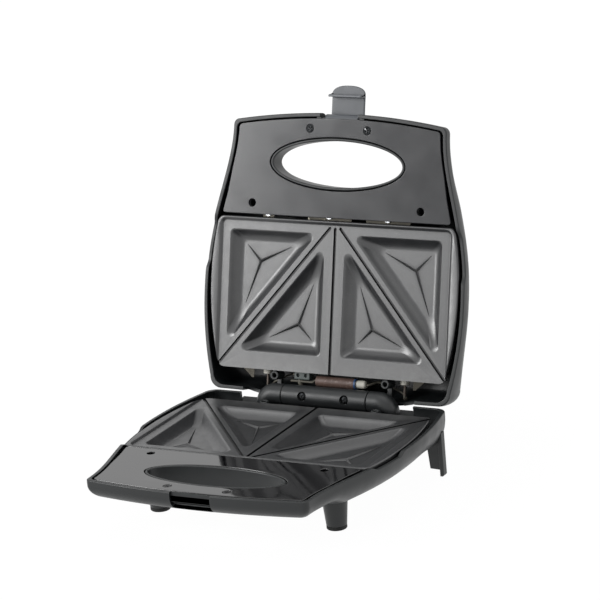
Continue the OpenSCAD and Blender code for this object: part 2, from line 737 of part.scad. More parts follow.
module cooking_plate() {
  difference() {
    union() {
      translate([0, 0, plate_under_z]) linear_extrude(plate_t) polygon(mirrored_loop(plate_half));
      both_sides() {
        pocket_bowl(outer_pocket);
        pocket_bowl(inner_pocket);
      }
    }
    both_sides() {
      pocket_cut(outer_pocket);
      pocket_cut(inner_pocket);
    }
    plate_grooves();
    face_recess();
  }
  both_sides() {
    pocket_star(outer_pocket);
    pocket_star(inner_pocket);
  }
  plate_bosses();
}

// Heating tube: two legs, a cross leg and two bends, with a cold pin at each end
tube_end_f = plate_rear_f + 5;
pin_r = 1.2;
pin_end_f = 6;
module heating_element() {
  leg_l = element_front_f - element_bend_r - tube_end_f;
  both_sides() {
    translate([element_half_w, -tube_end_f, element_z]) rotate([90, 0, 0])
      cylinder(r = element_r, h = leg_l, $fn = round_fn);
    translate([element_half_w, -pin_end_f, element_z]) rotate([90, 0, 0])
      cylinder(r = pin_r, h = tube_end_f - pin_end_f + 1, $fn = round_fn);
    translate([element_half_w - element_bend_r, -(element_front_f - element_bend_r), element_z])
      rotate([0, 0, -90]) rotate_extrude(angle = 90, $fn = round_fn)
        translate([element_bend_r, 0]) circle(r = element_r, $fn = round_fn);
  }
  translate([-(element_half_w - element_bend_r), -element_front_f, element_z]) rotate([0, 90, 0])
    cylinder(r = element_r, h = 2 * (element_half_w - element_bend_r), $fn = round_fn);
}
insulator_r = 3.9;
insulator_l = 9;
module element_insulators() {
  both_sides() translate([element_half_w, -(tube_end_f - insulator_l), element_z])
    rotate([90, 0, 0]) difference() {
      cylinder(r = insulator_r, h = insulator_l - seat_gap, $fn = round_fn);
      translate([0, 0, -1]) cylinder(r = pin_r + seat_gap, h = insulator_l + 2, $fn = round_fn);
    }
}

// Reflector tray with tabs that rest on the housing
tray_half_w = face_half_w - 7;
tray_rear_f = plate_rear_f + 1.5;
tray_front_f = plate_front_f - 1.4;
tab_z = -8;
tab_front_f = panel_rear_f + 4.5;
// Front tabs as [middle x, width]
front_tabs = [[-64, 10], [-8.3, 39.3], [44.1, 39.3]];
rear_tab_w = 10;
rear_tab_x = 72;
rear_tab_l = 9;
module reflector() {
  difference() {
    union() {
      translate([-tray_half_w, -tray_front_f, reflector_under_z])
        cube([2 * tray_half_w, tray_front_f - tray_rear_f, reflector_t]);
      translate([-tray_half_w, -tray_front_f, reflector_under_z])
        cube([2 * tray_half_w, reflector_t, tab_z - reflector_under_z]);
      translate([-tray_half_w, -tray_rear_f - reflector_t, reflector_under_z])
        cube([2 * tray_half_w, reflector_t, rear_tab_z + reflector_t - reflector_under_z]);
      for (tab = front_tabs)
        translate([tab[0] - tab[1] / 2, -tab_front_f, tab_z - reflector_t])
          cube([tab[1], tab_front_f - tray_front_f + reflector_t, reflector_t]);
      both_sides() translate([rear_tab_x, 0, rear_tab_z]) linear_extrude(reflector_t)
        polygon([
          [0, -tray_rear_f - reflector_t], [rear_tab_w, -tray_rear_f - reflector_t],
          [rear_tab_w, -tray_rear_f + 2], [2, -tray_rear_f + rear_tab_l],
          [0, -tray_rear_f + rear_tab_l]
        ]);
    }
    for (p = [plate_screw_front, plate_screw_rear])
      both_sides() translate([p[0], -p[1], reflector_under_z - 1])
        cylinder(r = screw_hole_r, h = 3, $fn = round_fn);
    both_sides() translate([element_half_w, -tray_rear_f + 2, element_z]) rotate([90, 0, 0])
      cylinder(r = insulator_r + seat_gap, h = 6, $fn = round_fn);
    both_sides() translate([thermostat_lead_x, -tray_rear_f + 2, element_z]) rotate([90, 0, 0])
      cylinder(r = lead_r + joint_extra + 0.25, h = 6, $fn = round_fn);
    for (tab = front_tabs)
      translate([tab[0], -(tab_front_f - 3), tab_z - 3]) cylinder(r = screw_hole_r, h = 6, $fn = round_fn);
  }
}
tab_post_r = 3.2;
tab_screw_l = 5;
module reflector_screws() {
  for (tab = front_tabs)
    translate([tab[0], -(tab_front_f - 3), tab_z])
      cross_screw(tab_screw_l, 2.8, 1.4, screw_shank_r);
}
// Posts of the housing under the reflector's front tabs
module tab_posts(body_depth, body_draw_in, crown) {
  post_f = tab_front_f - 3;
  for (tab = front_tabs) {
    x = tab[0];
    floor_depth = section_depth(post_f, body_depth) + crown_rise(x, post_f, body_draw_in, crown) - wall / 2;
    translate([x, -post_f, -floor_depth]) difference() {
      cylinder(r = tab_post_r, h = floor_depth + tab_z - reflector_t - tiny, $fn = round_fn);
      translate([0, 0, floor_depth + tab_z - reflector_t - tab_screw_l])
        cylinder(r = screw_thread_hole_r, h = tab_screw_l + 1, $fn = round_fn);
    }
  }
}

// Housing details around the hinge
hinge_box_rear_f = -13;
hinge_box_half_w = rear_gap_half_w + 6;
hinge_box_bottom_z = -base_depth + 2;
deck_t = 2.2;
rim_bore_clearance = 0.8;
ring_boss_x = 50;
ring_boss_f = deck_front_f - 3.7;
ring_boss_r = 3.6;
ring_boss_hole_r = 1.8;
ring_boss_z = -2;
terminal_slot_half_w = 5.5;
module deck_block(inset) {
  width = hinge_box_half_w - inset;
  translate([-width, -deck_front_f + inset, hinge_box_bottom_z + inset])
    cube([2 * width, deck_front_f - hinge_box_rear_f - 2 * inset, deck_z - hinge_box_bottom_z - 2 * inset]);
}
// Plan strip between two distances from the hinge axis
module strip(half_w, near_f, far_f, bottom_z, top_z) {
  translate([-half_w, -far_f, bottom_z]) cube([2 * half_w, far_f - near_f, top_z - bottom_z]);
}
module axis_cylinder(half_l, r) {
  translate([-half_l, 0, 0]) rotate([0, 90, 0]) cylinder(r = r, h = 2 * half_l, $fn = round_fn);
}
module ring_bosses(foot_z) {
  both_sides() translate([ring_boss_x, -ring_boss_f, foot_z])
    cylinder(r = ring_boss_r, h = ring_boss_z - foot_z, $fn = round_fn);
}
module ring_boss_holes() {
  both_sides() translate([ring_boss_x, -ring_boss_f, ring_boss_z - 7])
    cylinder(r = ring_boss_hole_r, h = 8, $fn = round_fn);
}

// Notch in the middle of each front edge
notch_rear_f = latch_pivot_f - 6;
notch_wall = 2;
catch_f = front_f - 2.4;
catch_z = latch_pivot_z - hook_reach + 0.9;
catch_rear_f = latch_pivot_f - 2;
liner_top_z = panel_seat_z - 0.2;
module base_notch_liner() {
  half_w = notch_half_w + notch_wall;
  strip(half_w, catch_rear_f - notch_wall, catch_rear_f, -handle_depth + 1.5, liner_top_z);
  strip(half_w, catch_rear_f - notch_wall, catch_f, -handle_depth + 5, liner_top_z);
}
module base_notch_cut() {
  strip(notch_half_w, catch_f, front_f + 5, -handle_depth - 5, 5);
  strip(notch_half_w, catch_rear_f, front_f + 5, -handle_depth - 5, catch_z);
}
module lid_notch_liner() {
  half_w = notch_half_w + notch_wall + 2;
  strip(half_w, notch_rear_f - notch_wall, latch_pivot_f - 1.5, -handle_depth + 1.5, liner_top_z);
  strip(half_w, notch_rear_f - notch_wall, front_f - 2.6, -handle_depth + 5.5, liner_top_z);
}
module lid_notch_cut() {
  strip(notch_half_w, notch_rear_f, front_f + 5, -handle_depth - 5, 5);
}
module latch_axis_cylinder(half_l, r) {
  translate([0, -latch_pivot_f, -latch_pivot_z]) axis_cylinder(half_l, r);
}

// Front feet and rear legs
foot_top_z = -base_depth - seat_gap;
foot_peg_r = 3;
foot_peg_l = 5;
foot_floor_z = -parting_z;
foot_x = body_half_w - foot_margin;
module front_foot() {
  translate([foot_x, -foot_f, 0]) {
    translate([0, 0, foot_floor_z + foot_tip_h])
      cylinder(r1 = foot_tip_r, r2 = foot_top_r, h = foot_top_z - foot_floor_z - foot_tip_h, $fn = round_fn);
    translate([0, 0, foot_top_z - tiny]) cylinder(r = foot_peg_r, h = foot_peg_l, $fn = round_fn);
  }
}
foot_tip_edge = 0.6;
module foot_tip() {
  translate([foot_x, -foot_f, foot_floor_z]) {
    cylinder(r1 = foot_tip_r - foot_tip_edge, r2 = foot_tip_r, h = foot_tip_edge, $fn = round_fn);
    translate([0, 0, foot_tip_edge - tiny])
      cylinder(r = foot_tip_r, h = foot_tip_h - foot_tip_edge + tiny, $fn = round_fn);
  }
}
leg_outer_x = side_x((leg_front_f + leg_rear_f) / 2) - 0.5;
leg_top_z = -side_band - 10;
leg_toe = 1.2;
leg_plate_t = 2.4;
module rear_leg() {
  translate([leg_outer_x - leg_t, -leg_front_f, -parting_z]) difference() {
    union() {
      cube([leg_t, leg_front_f - leg_rear_f, leg_top_z + parting_z]);
      translate([0, leg_front_f - leg_rear_f, 0]) rotate([90, 0, 0]) linear_extrude(leg_plate_t)
        polygon([
          [tiny, leg_plate_clear - 2], [-leg_plate_w + 3, leg_plate_clear + 3.5],
          [-leg_plate_w, parting_z + leg_top_z], [tiny, parting_z + leg_top_z]
        ]);
    }
    translate([leg_t, -1, 0]) rotate([0, 45, 0])
      cube([leg_toe * 2, leg_front_f - leg_rear_f + 2, leg_toe * 2], center = false);
  }
}

// Opening under the hinge box, with its cover and the posts for the cover's screws
cover_t = 1.6;
cover_lip = 2;
cover_front_f = 3.8;
cover_rear_f = hinge_box_rear_f + 1.6;
cover_half_w = hinge_box_half_w - 4;
cover_screw_x = 74;
cover_screw_f = -4;
cover_post_r = 3;
cover_screw_l = 7;
box_floor_z = hinge_box_bottom_z + deck_t;
box_roof_z = deck_z - deck_t;
module cover_opening() {
  strip(cover_half_w, cover_rear_f, cover_front_f, hinge_box_bottom_z - 3, hinge_box_bottom_z + cover_t);
  strip(cover_half_w - cover_lip, cover_rear_f + cover_lip, cover_front_f - cover_lip,
    hinge_box_bottom_z - 1, box_floor_z + 1);
}
module cover_posts() {
  for (x = [-cover_screw_x, 0, cover_screw_x])
    translate([x, -cover_screw_f, hinge_box_bottom_z + cover_t])
      cylinder(r = cover_post_r, h = box_roof_z - hinge_box_bottom_z - cover_t + 1, $fn = round_fn);
}
module cover_post_holes() {
  for (x = [-cover_screw_x, 0, cover_screw_x])
    translate([x, -cover_screw_f, hinge_box_bottom_z + cover_t - 1])
      cylinder(r = screw_thread_hole_r, h = cover_screw_l, $fn = round_fn);
}
module box_cover() {
  difference() {
    strip(cover_half_w - 0.2, cover_rear_f + 0.2, cover_front_f - 0.2,
      hinge_box_bottom_z, hinge_box_bottom_z + cover_t - seat_gap);
    for (x = [-cover_screw_x, 0, cover_screw_x])
      translate([x, -cover_screw_f, hinge_box_bottom_z - 1])
        cylinder(r = screw_hole_r, h = cover_t + 2, $fn = round_fn);
  }
}
module cover_screws() {
  for (x = [-cover_screw_x, 0, cover_screw_x])
    translate([x, -cover_screw_f, hinge_box_bottom_z]) mirror([0, 0, 1])
      cross_screw(cover_screw_l, screw_head_r - 0.5, 1.4, screw_shank_r);
}

// Mains inlet in the rear wall of the hinge box, with the clamp behind it
gland_r = inlet_bore_r + 1.5;
inlet_z = box_roof_z - gland_r - 0.3;
clamp_squeeze = 0.6;
gland_flange_r = inlet_bore_r + 2.5;
gland_flange_t = 2;
gland_l = 5;
gland_lip_f = hinge_box_rear_f - gland_flange_t;
module inlet_gland() {
  translate([inlet_x, -gland_lip_f, inlet_z]) rotate([90, 0, 0]) difference() {
    union() {
      cylinder(r = gland_flange_r, h = gland_flange_t, $fn = round_fn);
      cylinder(r = gland_r - seat_gap, h = gland_flange_t + deck_t + gland_l, $fn = round_fn);
    }
    translate([0, 0, -1])
      cylinder(r = inlet_bore_r, h = gland_flange_t + deck_t + gland_l + 2, $fn = round_fn);
  }
}
module inlet_hole() {
  translate([inlet_x, -hinge_box_rear_f + 1, inlet_z]) rotate([90, 0, 0])
    cylinder(r = gland_r, h = deck_t + 2, $fn = round_fn);
}
clamp_rear_f = -3.5;
clamp_w = 5;
clamp_half_l = 9.5;
clamp_screw_in = 2.6;
clamp_t = 1.5;
clamp_top_z = inlet_z - inlet_bore_r + clamp_squeeze;
clamp_screw_l = 6;
clamp_screw_r = 1.2;
clamp_post_r = 2.4;
module clamp_positions() {
  for (side = [-1, 1])
    translate([inlet_x + side * (clamp_half_l - clamp_screw_in), -clamp_rear_f - clamp_w / 2, 0]) children();
}
module cord_clamp() {
  difference() {
    translate([inlet_x - clamp_half_l, -clamp_rear_f - clamp_w, clamp_top_z - clamp_t])
      cube([2 * clamp_half_l, clamp_w, clamp_t]);
    clamp_positions() translate([0, 0, clamp_top_z - clamp_t - 1])
      cylinder(r = clamp_screw_r + seat_gap, h = clamp_t + 2, $fn = round_fn);
  }
}
module clamp_posts() {
  clamp_positions() translate([0, 0, clamp_top_z])
    cylinder(r = clamp_post_r, h = box_roof_z - clamp_top_z + 1, $fn = round_fn);
}
module clamp_post_holes() {
  clamp_positions() translate([0, 0, clamp_top_z - 1])
    cylinder(r = clamp_screw_r + seat_gap, h = clamp_screw_l, $fn = round_fn);
}
module cord_clamp_screws() {
  clamp_positions() translate([0, 0, clamp_top_z - clamp_t]) mirror([0, 0, 1])
    cross_screw(clamp_screw_l, 2.1, 1.2, clamp_screw_r);
}

// Screws that hold the elbows, driven from inside the hinge box
elbow_screw_r = 1.2;
elbow_screw_side = (elbow_bore_r + barrel_r) / 2;
elbow_screw_l = deck_t + 4;
module elbow_screw_positions() {
  both_sides()
    for (side = [-1, 1])
      translate([elbow_x + side * elbow_screw_side, 0, 0]) children();
}
module elbow_screws() {
  elbow_screw_positions() translate([0, 0, box_roof_z]) mirror([0, 0, 1])
    cross_screw(elbow_screw_l, 2.1, 1.2, elbow_screw_r);
}
module elbow_screw_holes() {
  elbow_screw_positions() translate([0, 0, box_roof_z - 1])
    cylinder(r = elbow_screw_r + seat_gap, h = elbow_screw_l + 1.5, $fn = round_fn);
}

// Slots that the rear legs clip into
module leg_socket() {
  c = seat_gap;
  leg_inner_x = leg_outer_x - leg_t;
  translate([leg_inner_x - c, -leg_front_f - c, -parting_z - 1])
    cube([leg_t + 6, leg_front_f - leg_rear_f + 2 * c, leg_top_z + parting_z + 1 + c]);
  translate([leg_inner_x - leg_plate_w - c, -leg_rear_f - leg_plate_t - c, -parting_z - 1])
    cube([leg_plate_w + 1, leg_plate_t + 2 * c, leg_top_z + parting_z + 1 + c]);
}

module base_shell() {
  difference() {
    union() {
      difference() {
        half_shell(base_depth, base_draw_in, 0, 0);
        strip(rear_gap_half_w, -5, deck_front_f - 0.1, deck_z, 5);
      }
      difference() {
        deck_block(0);
        deck_block(deck_t);
        strip(hinge_box_half_w - deck_t, -2, deck_front_f + 1, box_floor_z, box_roof_z);
      }
      oval_sleeve(base_depth);
      panel_bosses(base_depth);
      tab_posts(base_depth, base_draw_in, 0);
      base_notch_liner();
      ring_bosses(deck_z - deck_t / 2);
    }
    strip(hinge_box_half_w - deck_t, hinge_box_rear_f + deck_t, deck_front_f - 0.2, box_floor_z, box_roof_z);
    both_sides() translate([element_half_w, 0, 0])
      strip(terminal_slot_half_w, 8.5, deck_front_f + 1, box_floor_z, deck_z + 1);
    translate([0, 0, -30]) linear_extrude(40) oval(0);
    panel_boss_holes();
    ring_boss_holes();
    base_notch_cut();
    cover_opening();
    inlet_hole();
    elbow_screw_holes();
    both_sides() {
      leg_socket();
      translate([foot_x, -foot_f, foot_top_z - 2])
        cylinder(r = foot_peg_r + seat_gap, h = 6, $fn = round_fn);
      translate([elbow_x, 0, deck_z - 5]) cylinder(r = elbow_bore_r, h = 6, $fn = round_fn);
    }
  }
  difference() {
    union() {
      cover_posts();
      clamp_posts();
    }
    cover_post_holes();
    clamp_post_holes();
  }
}

saddle_half_w = barrel_screw_x + 6;
saddle_top_z = -(barrel_r + 4);
stop_gap = 0.3;
saddle_rear_f = (deck_z + stop_gap + cos(open_angle) * saddle_top_z) / sin(open_angle);
saddle_front_f = 7.4;
elbow_slot_depth = 12;
module lid_shell() {
  difference() {
    union() {
      half_shell(lid_depth, lid_draw_in, rear_bow, lid_crown);
      oval_sleeve(lid_depth);
      panel_bosses(lid_depth);
      tab_posts(lid_depth, lid_draw_in, lid_crown);
      lid_notch_liner();
      ring_bosses(-ring_strut_z - 1);
      both_sides() translate([ring_boss_x, 0, 0])
        strip(2, -3.5, ring_boss_f, -ring_strut_z - 2, -ring_strut_z + 1.5);
      lamp_post();
      strip(saddle_half_w, saddle_rear_f, saddle_front_f, saddle_top_z, -barrel_r + 3);
    }
    axis_cylinder(saddle_half_w + 1, barrel_r + seat_gap);
    both_sides() {
      translate([(rear_gap_half_w + saddle_half_w) / 2, 0, 0])
        axis_cylinder((rear_gap_half_w - saddle_half_w - 1) / 2, barrel_r + rim_bore_clearance);
      translate([elbow_x, 0, 0]) strip(barrel_r + 0.8, -9, -0.5, -elbow_slot_depth, 2);
      translate([lamp_x, -lamp_f, -lid_depth - 5]) cylinder(r = lens_r + seat_gap, h = 8, $fn = round_fn);
    }
    translate([0, 0, -30]) linear_extrude(40) oval(0);
    panel_boss_holes();
    ring_boss_holes();
    lid_notch_cut();
    latch_axis_cylinder(notch_half_w + notch_wall + 1, latch_pin_r + seat_gap);
    barrel_screw_bores();
  }
}

// Barrel screws, which run square to the lid from its inner side
barrel_screw_r = 1.6;
barrel_screw_head_r = 3.4;
barrel_screw_recess = 3;
barrel_screw_l = barrel_r + 3;
module barrel_screw_bores() {
  both_sides() translate([barrel_screw_x, 0, -barrel_screw_l - 1])
    cylinder(r = barrel_screw_r + seat_gap, h = barrel_screw_l + 1, $fn = round_fn);
}
wire_slot_x = 28;
wire_slot_r = 2.6;
module hinge_barrel() {
  difference() {
    axis_cylinder(barrel_half_l, barrel_r);
    axis_cylinder(barrel_half_l + 1, barrel_bore_r);
    both_sides() {
      translate([barrel_screw_x, 0, 0]) {
        translate([0, 0, -barrel_r - 1])
          cylinder(r = barrel_screw_r + seat_gap, h = 2 * barrel_r + 2, $fn = round_fn);
        translate([0, 0, barrel_r - barrel_screw_recess])
          cylinder(r = barrel_screw_head_r + 0.5, h = barrel_screw_recess + 1, $fn = round_fn);
      }
    }
    translate([-wire_slot_x, 0, -barrel_r - 1]) cylinder(r = wire_slot_r, h = barrel_r, $fn = round_fn);
  }
}
module barrel_screws() {
  both_sides() translate([barrel_screw_x, 0, barrel_r - barrel_screw_recess])
    cross_screw(barrel_r - barrel_screw_recess + barrel_screw_l, barrel_screw_head_r, 1.6, barrel_screw_r);
}

// Elbow: spigot in the barrel, a bend and a flange that is screwed to the deck
module hinge_elbow() {
  straight_end_x = elbow_x - elbow_bend_r;
  start_x = barrel_half_l + hinge_end_gap;
  difference() {
    union() {
      translate([start_x, 0, 0]) rotate([0, 90, 0])
        cylinder(r = barrel_r, h = straight_end_x - start_x, $fn = round_fn);
      translate([start_x - hinge_end_gap - spigot_l, 0, 0]) rotate([0, 90, 0])
        cylinder(r = barrel_bore_r - hinge_clearance, h = spigot_l + hinge_end_gap + 1, $fn = round_fn);
      translate([straight_end_x, 0, -elbow_bend_r]) rotate([90, 0, 0])
        rotate_extrude(angle = 90, $fn = round_fn)
          translate([elbow_bend_r, 0]) circle(r = barrel_r, $fn = round_fn);
      translate([elbow_x, 0, deck_z]) cylinder(r = barrel_r, h = -elbow_bend_r - deck_z, $fn = round_fn);
    }
    translate([start_x - hinge_end_gap - spigot_l - 1, 0, 0]) rotate([0, 90, 0])
      cylinder(r = elbow_bore_r, h = elbow_x - start_x + spigot_l + 2, $fn = round_fn);
    translate([elbow_x, 0, deck_z - 1]) cylinder(r = elbow_bore_r, h = 1 - deck_z, $fn = round_fn);
    elbow_screw_holes();
  }
}

// Lead made of straight runs with round joints; each point is [x, f, z]
lead_r = 0.9;
joint_extra = 0.15;
lead_sides = 8;
module lead(points, r) {
  for (i = [0:len(points) - 2]) {
    p = [points[i][0], -points[i][1], points[i][2]];
    q = [points[i + 1][0], -points[i + 1][1], points[i + 1][2]];
    run = q - p;
    translate(p) rotate([0, acos(run[2] / norm(run)), atan2(run[1], run[0])])
      cylinder(r = r, h = norm(run), $fn = lead_sides);
    if (i > 0)
      translate(p) sphere(r = r + joint_extra, $fn = lead_sides);
  }
}
sheath_r = 1.8;
sheath_split_x = elbow_x - elbow_bend_r;
block_x = -40;
block_l = 30;
block_w = 12;
block_h = 7;
block_rear_f = -6;
block_z = box_roof_z - seat_gap - block_h;
module terminal_block() {
  difference() {
    translate([block_x, -block_rear_f - block_w, block_z]) cube([block_l, block_w, block_h]);
    for (x = [5, 15, 25])
      translate([block_x + x, -block_rear_f - block_w / 2, block_z - 1])
        cylinder(r = 2, h = 4, $fn = round_fn);
    for (x = [10, 20])
      translate([block_x + x - 0.5, -block_rear_f - block_w - 1, block_z - 1])
        cube([1, block_w + 2, 3.5]);
  }
}
module base_leads() {
  lead_z = block_z + 2;
  front = block_rear_f + block_w + seat_gap;
  out = front + 2;
  lead([[block_x + 5, front, lead_z], [block_x + 5, out, lead_z], [block_x - 4, 12, -18],
    [-element_half_w, 3, -18], [-element_half_w, 3, element_z],
    [-element_half_w, pin_end_f - seat_gap, element_z]], lead_r);
  lead([[block_x + 25, front, lead_z], [block_x + 25, out, lead_z], [0, 13, -19],
    [element_half_w - 6, 12, -19], [element_half_w, 3, -18], [element_half_w, 3, element_z],
    [element_half_w, pin_end_f - seat_gap, element_z]], lead_r);
  for (side = [-1, 1])
    lead([[block_x + 15 + 3 * side, front, lead_z], [block_x + 15 + 3 * side, out, lead_z],
      [thermostat_lead_x * side, 13, element_z], [thermostat_lead_x * side, 30, element_z],
      [thermostat_lead_x * side, 45, -9], [thermostat_lead_x * side, thermostat_f - thermostat_r, -9]], lead_r);
  lead([[block_x - seat_gap, -2, lead_z], [block_x - 4, -2, lead_z], [-elbow_x, 0, lead_z],
    [-elbow_x, 0, -3.5], [-elbow_x + 3.5, 0, 0], [-sheath_split_x - 1, 0, 0]], sheath_r);
}
thermostat_f = plate_front_f - 15;
thermostat_lead_x = 4;
module thermostat() {
  translate([0, -thermostat_f, plate_under_z - seat_gap]) mirror([0, 0, 1]) {
    cylinder(r = thermostat_r, h = thermostat_h * 0.6, $fn = round_fn);
    cylinder(r = thermostat_r - 1.2, h = thermostat_h, $fn = round_fn);
  }
}

// Fuse, connector and leads behind the upper plate
fuse_f = 12;
fuse_z = -10;
fuse_r = 4.4;
fuse_left_x = -14.6;
fuse_right_x = 20.4;
fuse_end_x = 30;
module fuse_sleeve() {
  translate([fuse_left_x, -fuse_f, fuse_z]) rotate([0, 90, 0]) difference() {
    cylinder(r = fuse_r, h = fuse_right_x - fuse_left_x, $fn = round_fn);
    translate([0, 0, fuse_right_x - fuse_left_x - 8]) cylinder(r = 3.25, h = 9, $fn = round_fn);
    translate([0, 0, -1]) cylinder(r = lead_r + seat_gap, h = 12, $fn = round_fn);
  }
}
module fuse_insulator() {
  translate([fuse_right_x - 7, -fuse_f, fuse_z]) rotate([0, 90, 0])
    cylinder(r = 3.2, h = fuse_end_x - fuse_right_x + 7, $fn = round_fn);
}
connector_x = -34;
connector_l = 14;
connector_size = 7;
connector_rear_f = 12.2;
connector_z = -6.5;
module lead_connector() {
  translate([connector_x, -connector_rear_f - connector_size, connector_z - connector_size]) difference() {
    cube([connector_l, connector_size, connector_size]);
    for (x = [3.5, 10.5])
      translate([x, connector_size / 2, connector_size - 2]) cylinder(r = 1.6, h = 3, $fn = round_fn);
  }
}
module lid_leads() {
  deep_z = -18;
  mid_f = connector_rear_f + connector_size / 2;
  left_x = connector_x - seat_gap;
  under_z = connector_z - connector_size - seat_gap;
  lead([[-sheath_split_x + 0.6, 0, 0], [-wire_slot_x, 0, 0], [-wire_slot_x, 0, fuse_z + 0.5],
    [-wire_slot_x, 3, fuse_z - 2.5], [-wire_slot_x - 2, connector_rear_f - 3, fuse_z],
    [-wire_slot_x - 2, connector_rear_f - seat_gap, fuse_z]], sheath_r);
  lead([[left_x, mid_f, fuse_z], [left_x - 2, mid_f, fuse_z], [connector_x - 7, mid_f, deep_z],
    [-element_half_w + 5, 8, deep_z], [-element_half_w, 3, deep_z], [-element_half_w, 3, element_z],
    [-element_half_w, pin_end_f - seat_gap, element_z]], lead_r);
  lead([[fuse_end_x + seat_gap, fuse_f, fuse_z], [fuse_end_x + 2, fuse_f, fuse_z],
    [fuse_end_x + 9, 14, deep_z], [element_half_w - 5, 8, deep_z], [element_half_w, 3, deep_z],
    [element_half_w, 3, element_z], [element_half_w, pin_end_f - seat_gap, element_z]], lead_r);
  lead([[connector_x - 4, 10.6, fuse_z + 1], [connector_x + 15, 10.6, fuse_z + 1],
    [fuse_left_x - 2, fuse_f, fuse_z], [fuse_left_x + 2, fuse_f, fuse_z]], lead_r);
  lead([[connector_x + connector_l - 3, mid_f, under_z], [connector_x + connector_l - 3, mid_f, under_z - 2],
    [connector_x + connector_l, mid_f, -22], [-6, 60, -22], [-lamp_x, lamp_f - 10, -22],
    [-lamp_x, lamp_f, -22], [-lamp_x, lamp_f, lamp_rear_z + seat_gap]], lead_r);
}

// Indicator lamps in the crown of the lid
lamp_x = 14;
lamp_f = 120;
lens_r = 5;
lamp_r = 3;
ring_strut_z = 13;
lamp_skin_z = -lid_depth - crown_rise(lamp_x, lamp_f, lid_draw_in, lid_crown);
lamp_rear_z = lamp_skin_z + 11;
holder_z = lamp_skin_z + 6.4;
holder_t = 2;
holder_edge = 8;
holder_half_l = 7;
module lamp_post() {
  translate([0, -lamp_f, -lid_depth - lid_crown + wall / 2]) {
    cylinder(r = 3.2, h = holder_z + lid_depth + lid_crown - wall / 2 - seat_gap, $fn = round_fn);
    cylinder(r = 1.5, h = holder_z + holder_t + 0.8 + lid_depth + lid_crown - wall / 2, $fn = round_fn);
  }
}
module lamp_holder() {
  difference() {
    translate([-lamp_x - holder_edge, -lamp_f - holder_half_l, holder_z])
      cube([2 * (lamp_x + holder_edge), 2 * holder_half_l, holder_t]);
    translate([0, -lamp_f, holder_z - 1]) cylinder(r = 1.5 + seat_gap, h = holder_t + 2, $fn = round_fn);
    both_sides() translate([lamp_x, -lamp_f, holder_z - 1])
      cylinder(r = lamp_r + seat_gap, h = holder_t + 2, $fn = round_fn);
  }
}
module neon_lamps() {
  both_sides() translate([lamp_x, -lamp_f, lamp_rear_z]) mirror([0, 0, 1]) {
    cylinder(r = lamp_r, h = 8, $fn = round_fn);
    translate([0, 0, 8 - tiny]) cylinder(r1 = lamp_r, r2 = 1.2, h = 1, $fn = round_fn);
  }
}
module lamp_lens() {
  translate([0, -lamp_f, lamp_skin_z]) difference() {
    union() {
      translate([0, 0, -1.2]) cylinder(r = lens_r, h = 7.4, $fn = round_fn);
      translate([0, 0, wall + 0.4]) cylinder(r = lens_r + 1.2, h = 1.4, $fn = round_fn);
      translate([0, 0, -1.8]) cylinder(r1 = lens_r - 0.8, r2 = lens_r, h = 0.6 + tiny, $fn = round_fn);
    }
    translate([0, 0, 0.6]) cylinder(r = lamp_r + 0.5, h = 7, $fn = round_fn);
  }
}

// Latch: its side profile is drawn about the pivot, with x forward and y out of the lid
latch_knuckle_r = 4;
latch_hook_t = 2.2;
latch_bore_gap = 0.08;
module latch_profile() {
  hook_tip_z = latch_plate_inner - hook_depth;
  polygon(concat(
    [[-latch_web_half, 0]],
    latch_outer_row,
    [
      [latch_tip_reach, latch_plate_inner + 0.4], [latch_tip_reach - 0.6, latch_plate_inner],
      [hook_reach + latch_hook_t, latch_plate_inner],
      [hook_reach + latch_hook_t, hook_tip_z + 1.6],
      [hook_reach + latch_hook_t - 0.8, hook_tip_z],
      [hook_reach + 0.3, hook_tip_z], [hook_reach, hook_tip_z + 0.3],
      [hook_reach, latch_plate_inner], [latch_web_half, latch_plate_inner], [latch_web_half, 0]
    ]
  ));
}
latch_dome_l = 8;
module latch_plan() {
  dome_f = latch_pivot_f + latch_tip_reach - latch_dome_l;
  polygon(concat(
    [[latch_half_w, -latch_pivot_f + 10]],
    [for (a = [0:10:180]) [latch_half_w * cos(a), -dome_f - latch_dome_l * pow(sin(a), 0.8)]],
    [[-latch_half_w, -latch_pivot_f + 10]]
  ));
}
module latch_clip() {
  intersection() {
    difference() {
      union() {
        translate([-latch_half_w, -latch_pivot_f, -latch_pivot_z]) rotate([0, 180, 0]) rotate([90, 0, -90])
          linear_extrude(2 * latch_half_w) latch_profile();
        latch_axis_cylinder(latch_half_w, latch_knuckle_r);
      }
      latch_axis_cylinder(latch_half_w + 1, latch_pin_r + latch_bore_gap);
    }
    translate([0, 0, -handle_depth - 10]) linear_extrude(handle_depth + 15) latch_plan();
  }
}
module latch_pin() {
  latch_axis_cylinder(notch_half_w + notch_wall + 0.9, latch_pin_r);
}

color(housing_colour) in_base() base_shell();
color(housing_colour) in_lid_from_base() lid_shell();
color(base_panel_colour) in_base() handle_panel();  // base_handle_panel
color(lid_panel_colour) in_lid_from_base() handle_panel();  // lid_handle_panel
color(plate_colour) in_base() cooking_plate();  // lower_plate
color(plate_colour) in_lid_from_base() cooking_plate();  // upper_plate
color(housing_colour) in_lid_from_base() hinge_barrel();
color(steel_colour) in_lid_from_base() barrel_screws();
color(housing_colour) in_base() mirror([1, 0, 0]) hinge_elbow();  // left_hinge_elbow
color(housing_colour) in_base() hinge_elbow();  // right_hinge_elbow
color(housing_colour) in_base() mirror([1, 0, 0]) front_foot();  // front_left_foot
color(housing_colour) in_base() front_foot();  // front_right_foot
color(rubber_colour) in_base() both_sides() foot_tip();  // front_foot_tips
color(housing_colour) in_base() mirror([1, 0, 0]) rear_leg();  // rear_left_leg
color(housing_colour) in_base() rear_leg();  // rear_right_leg
color(steel_colour) in_base() panel_screws();  // base_panel_screws
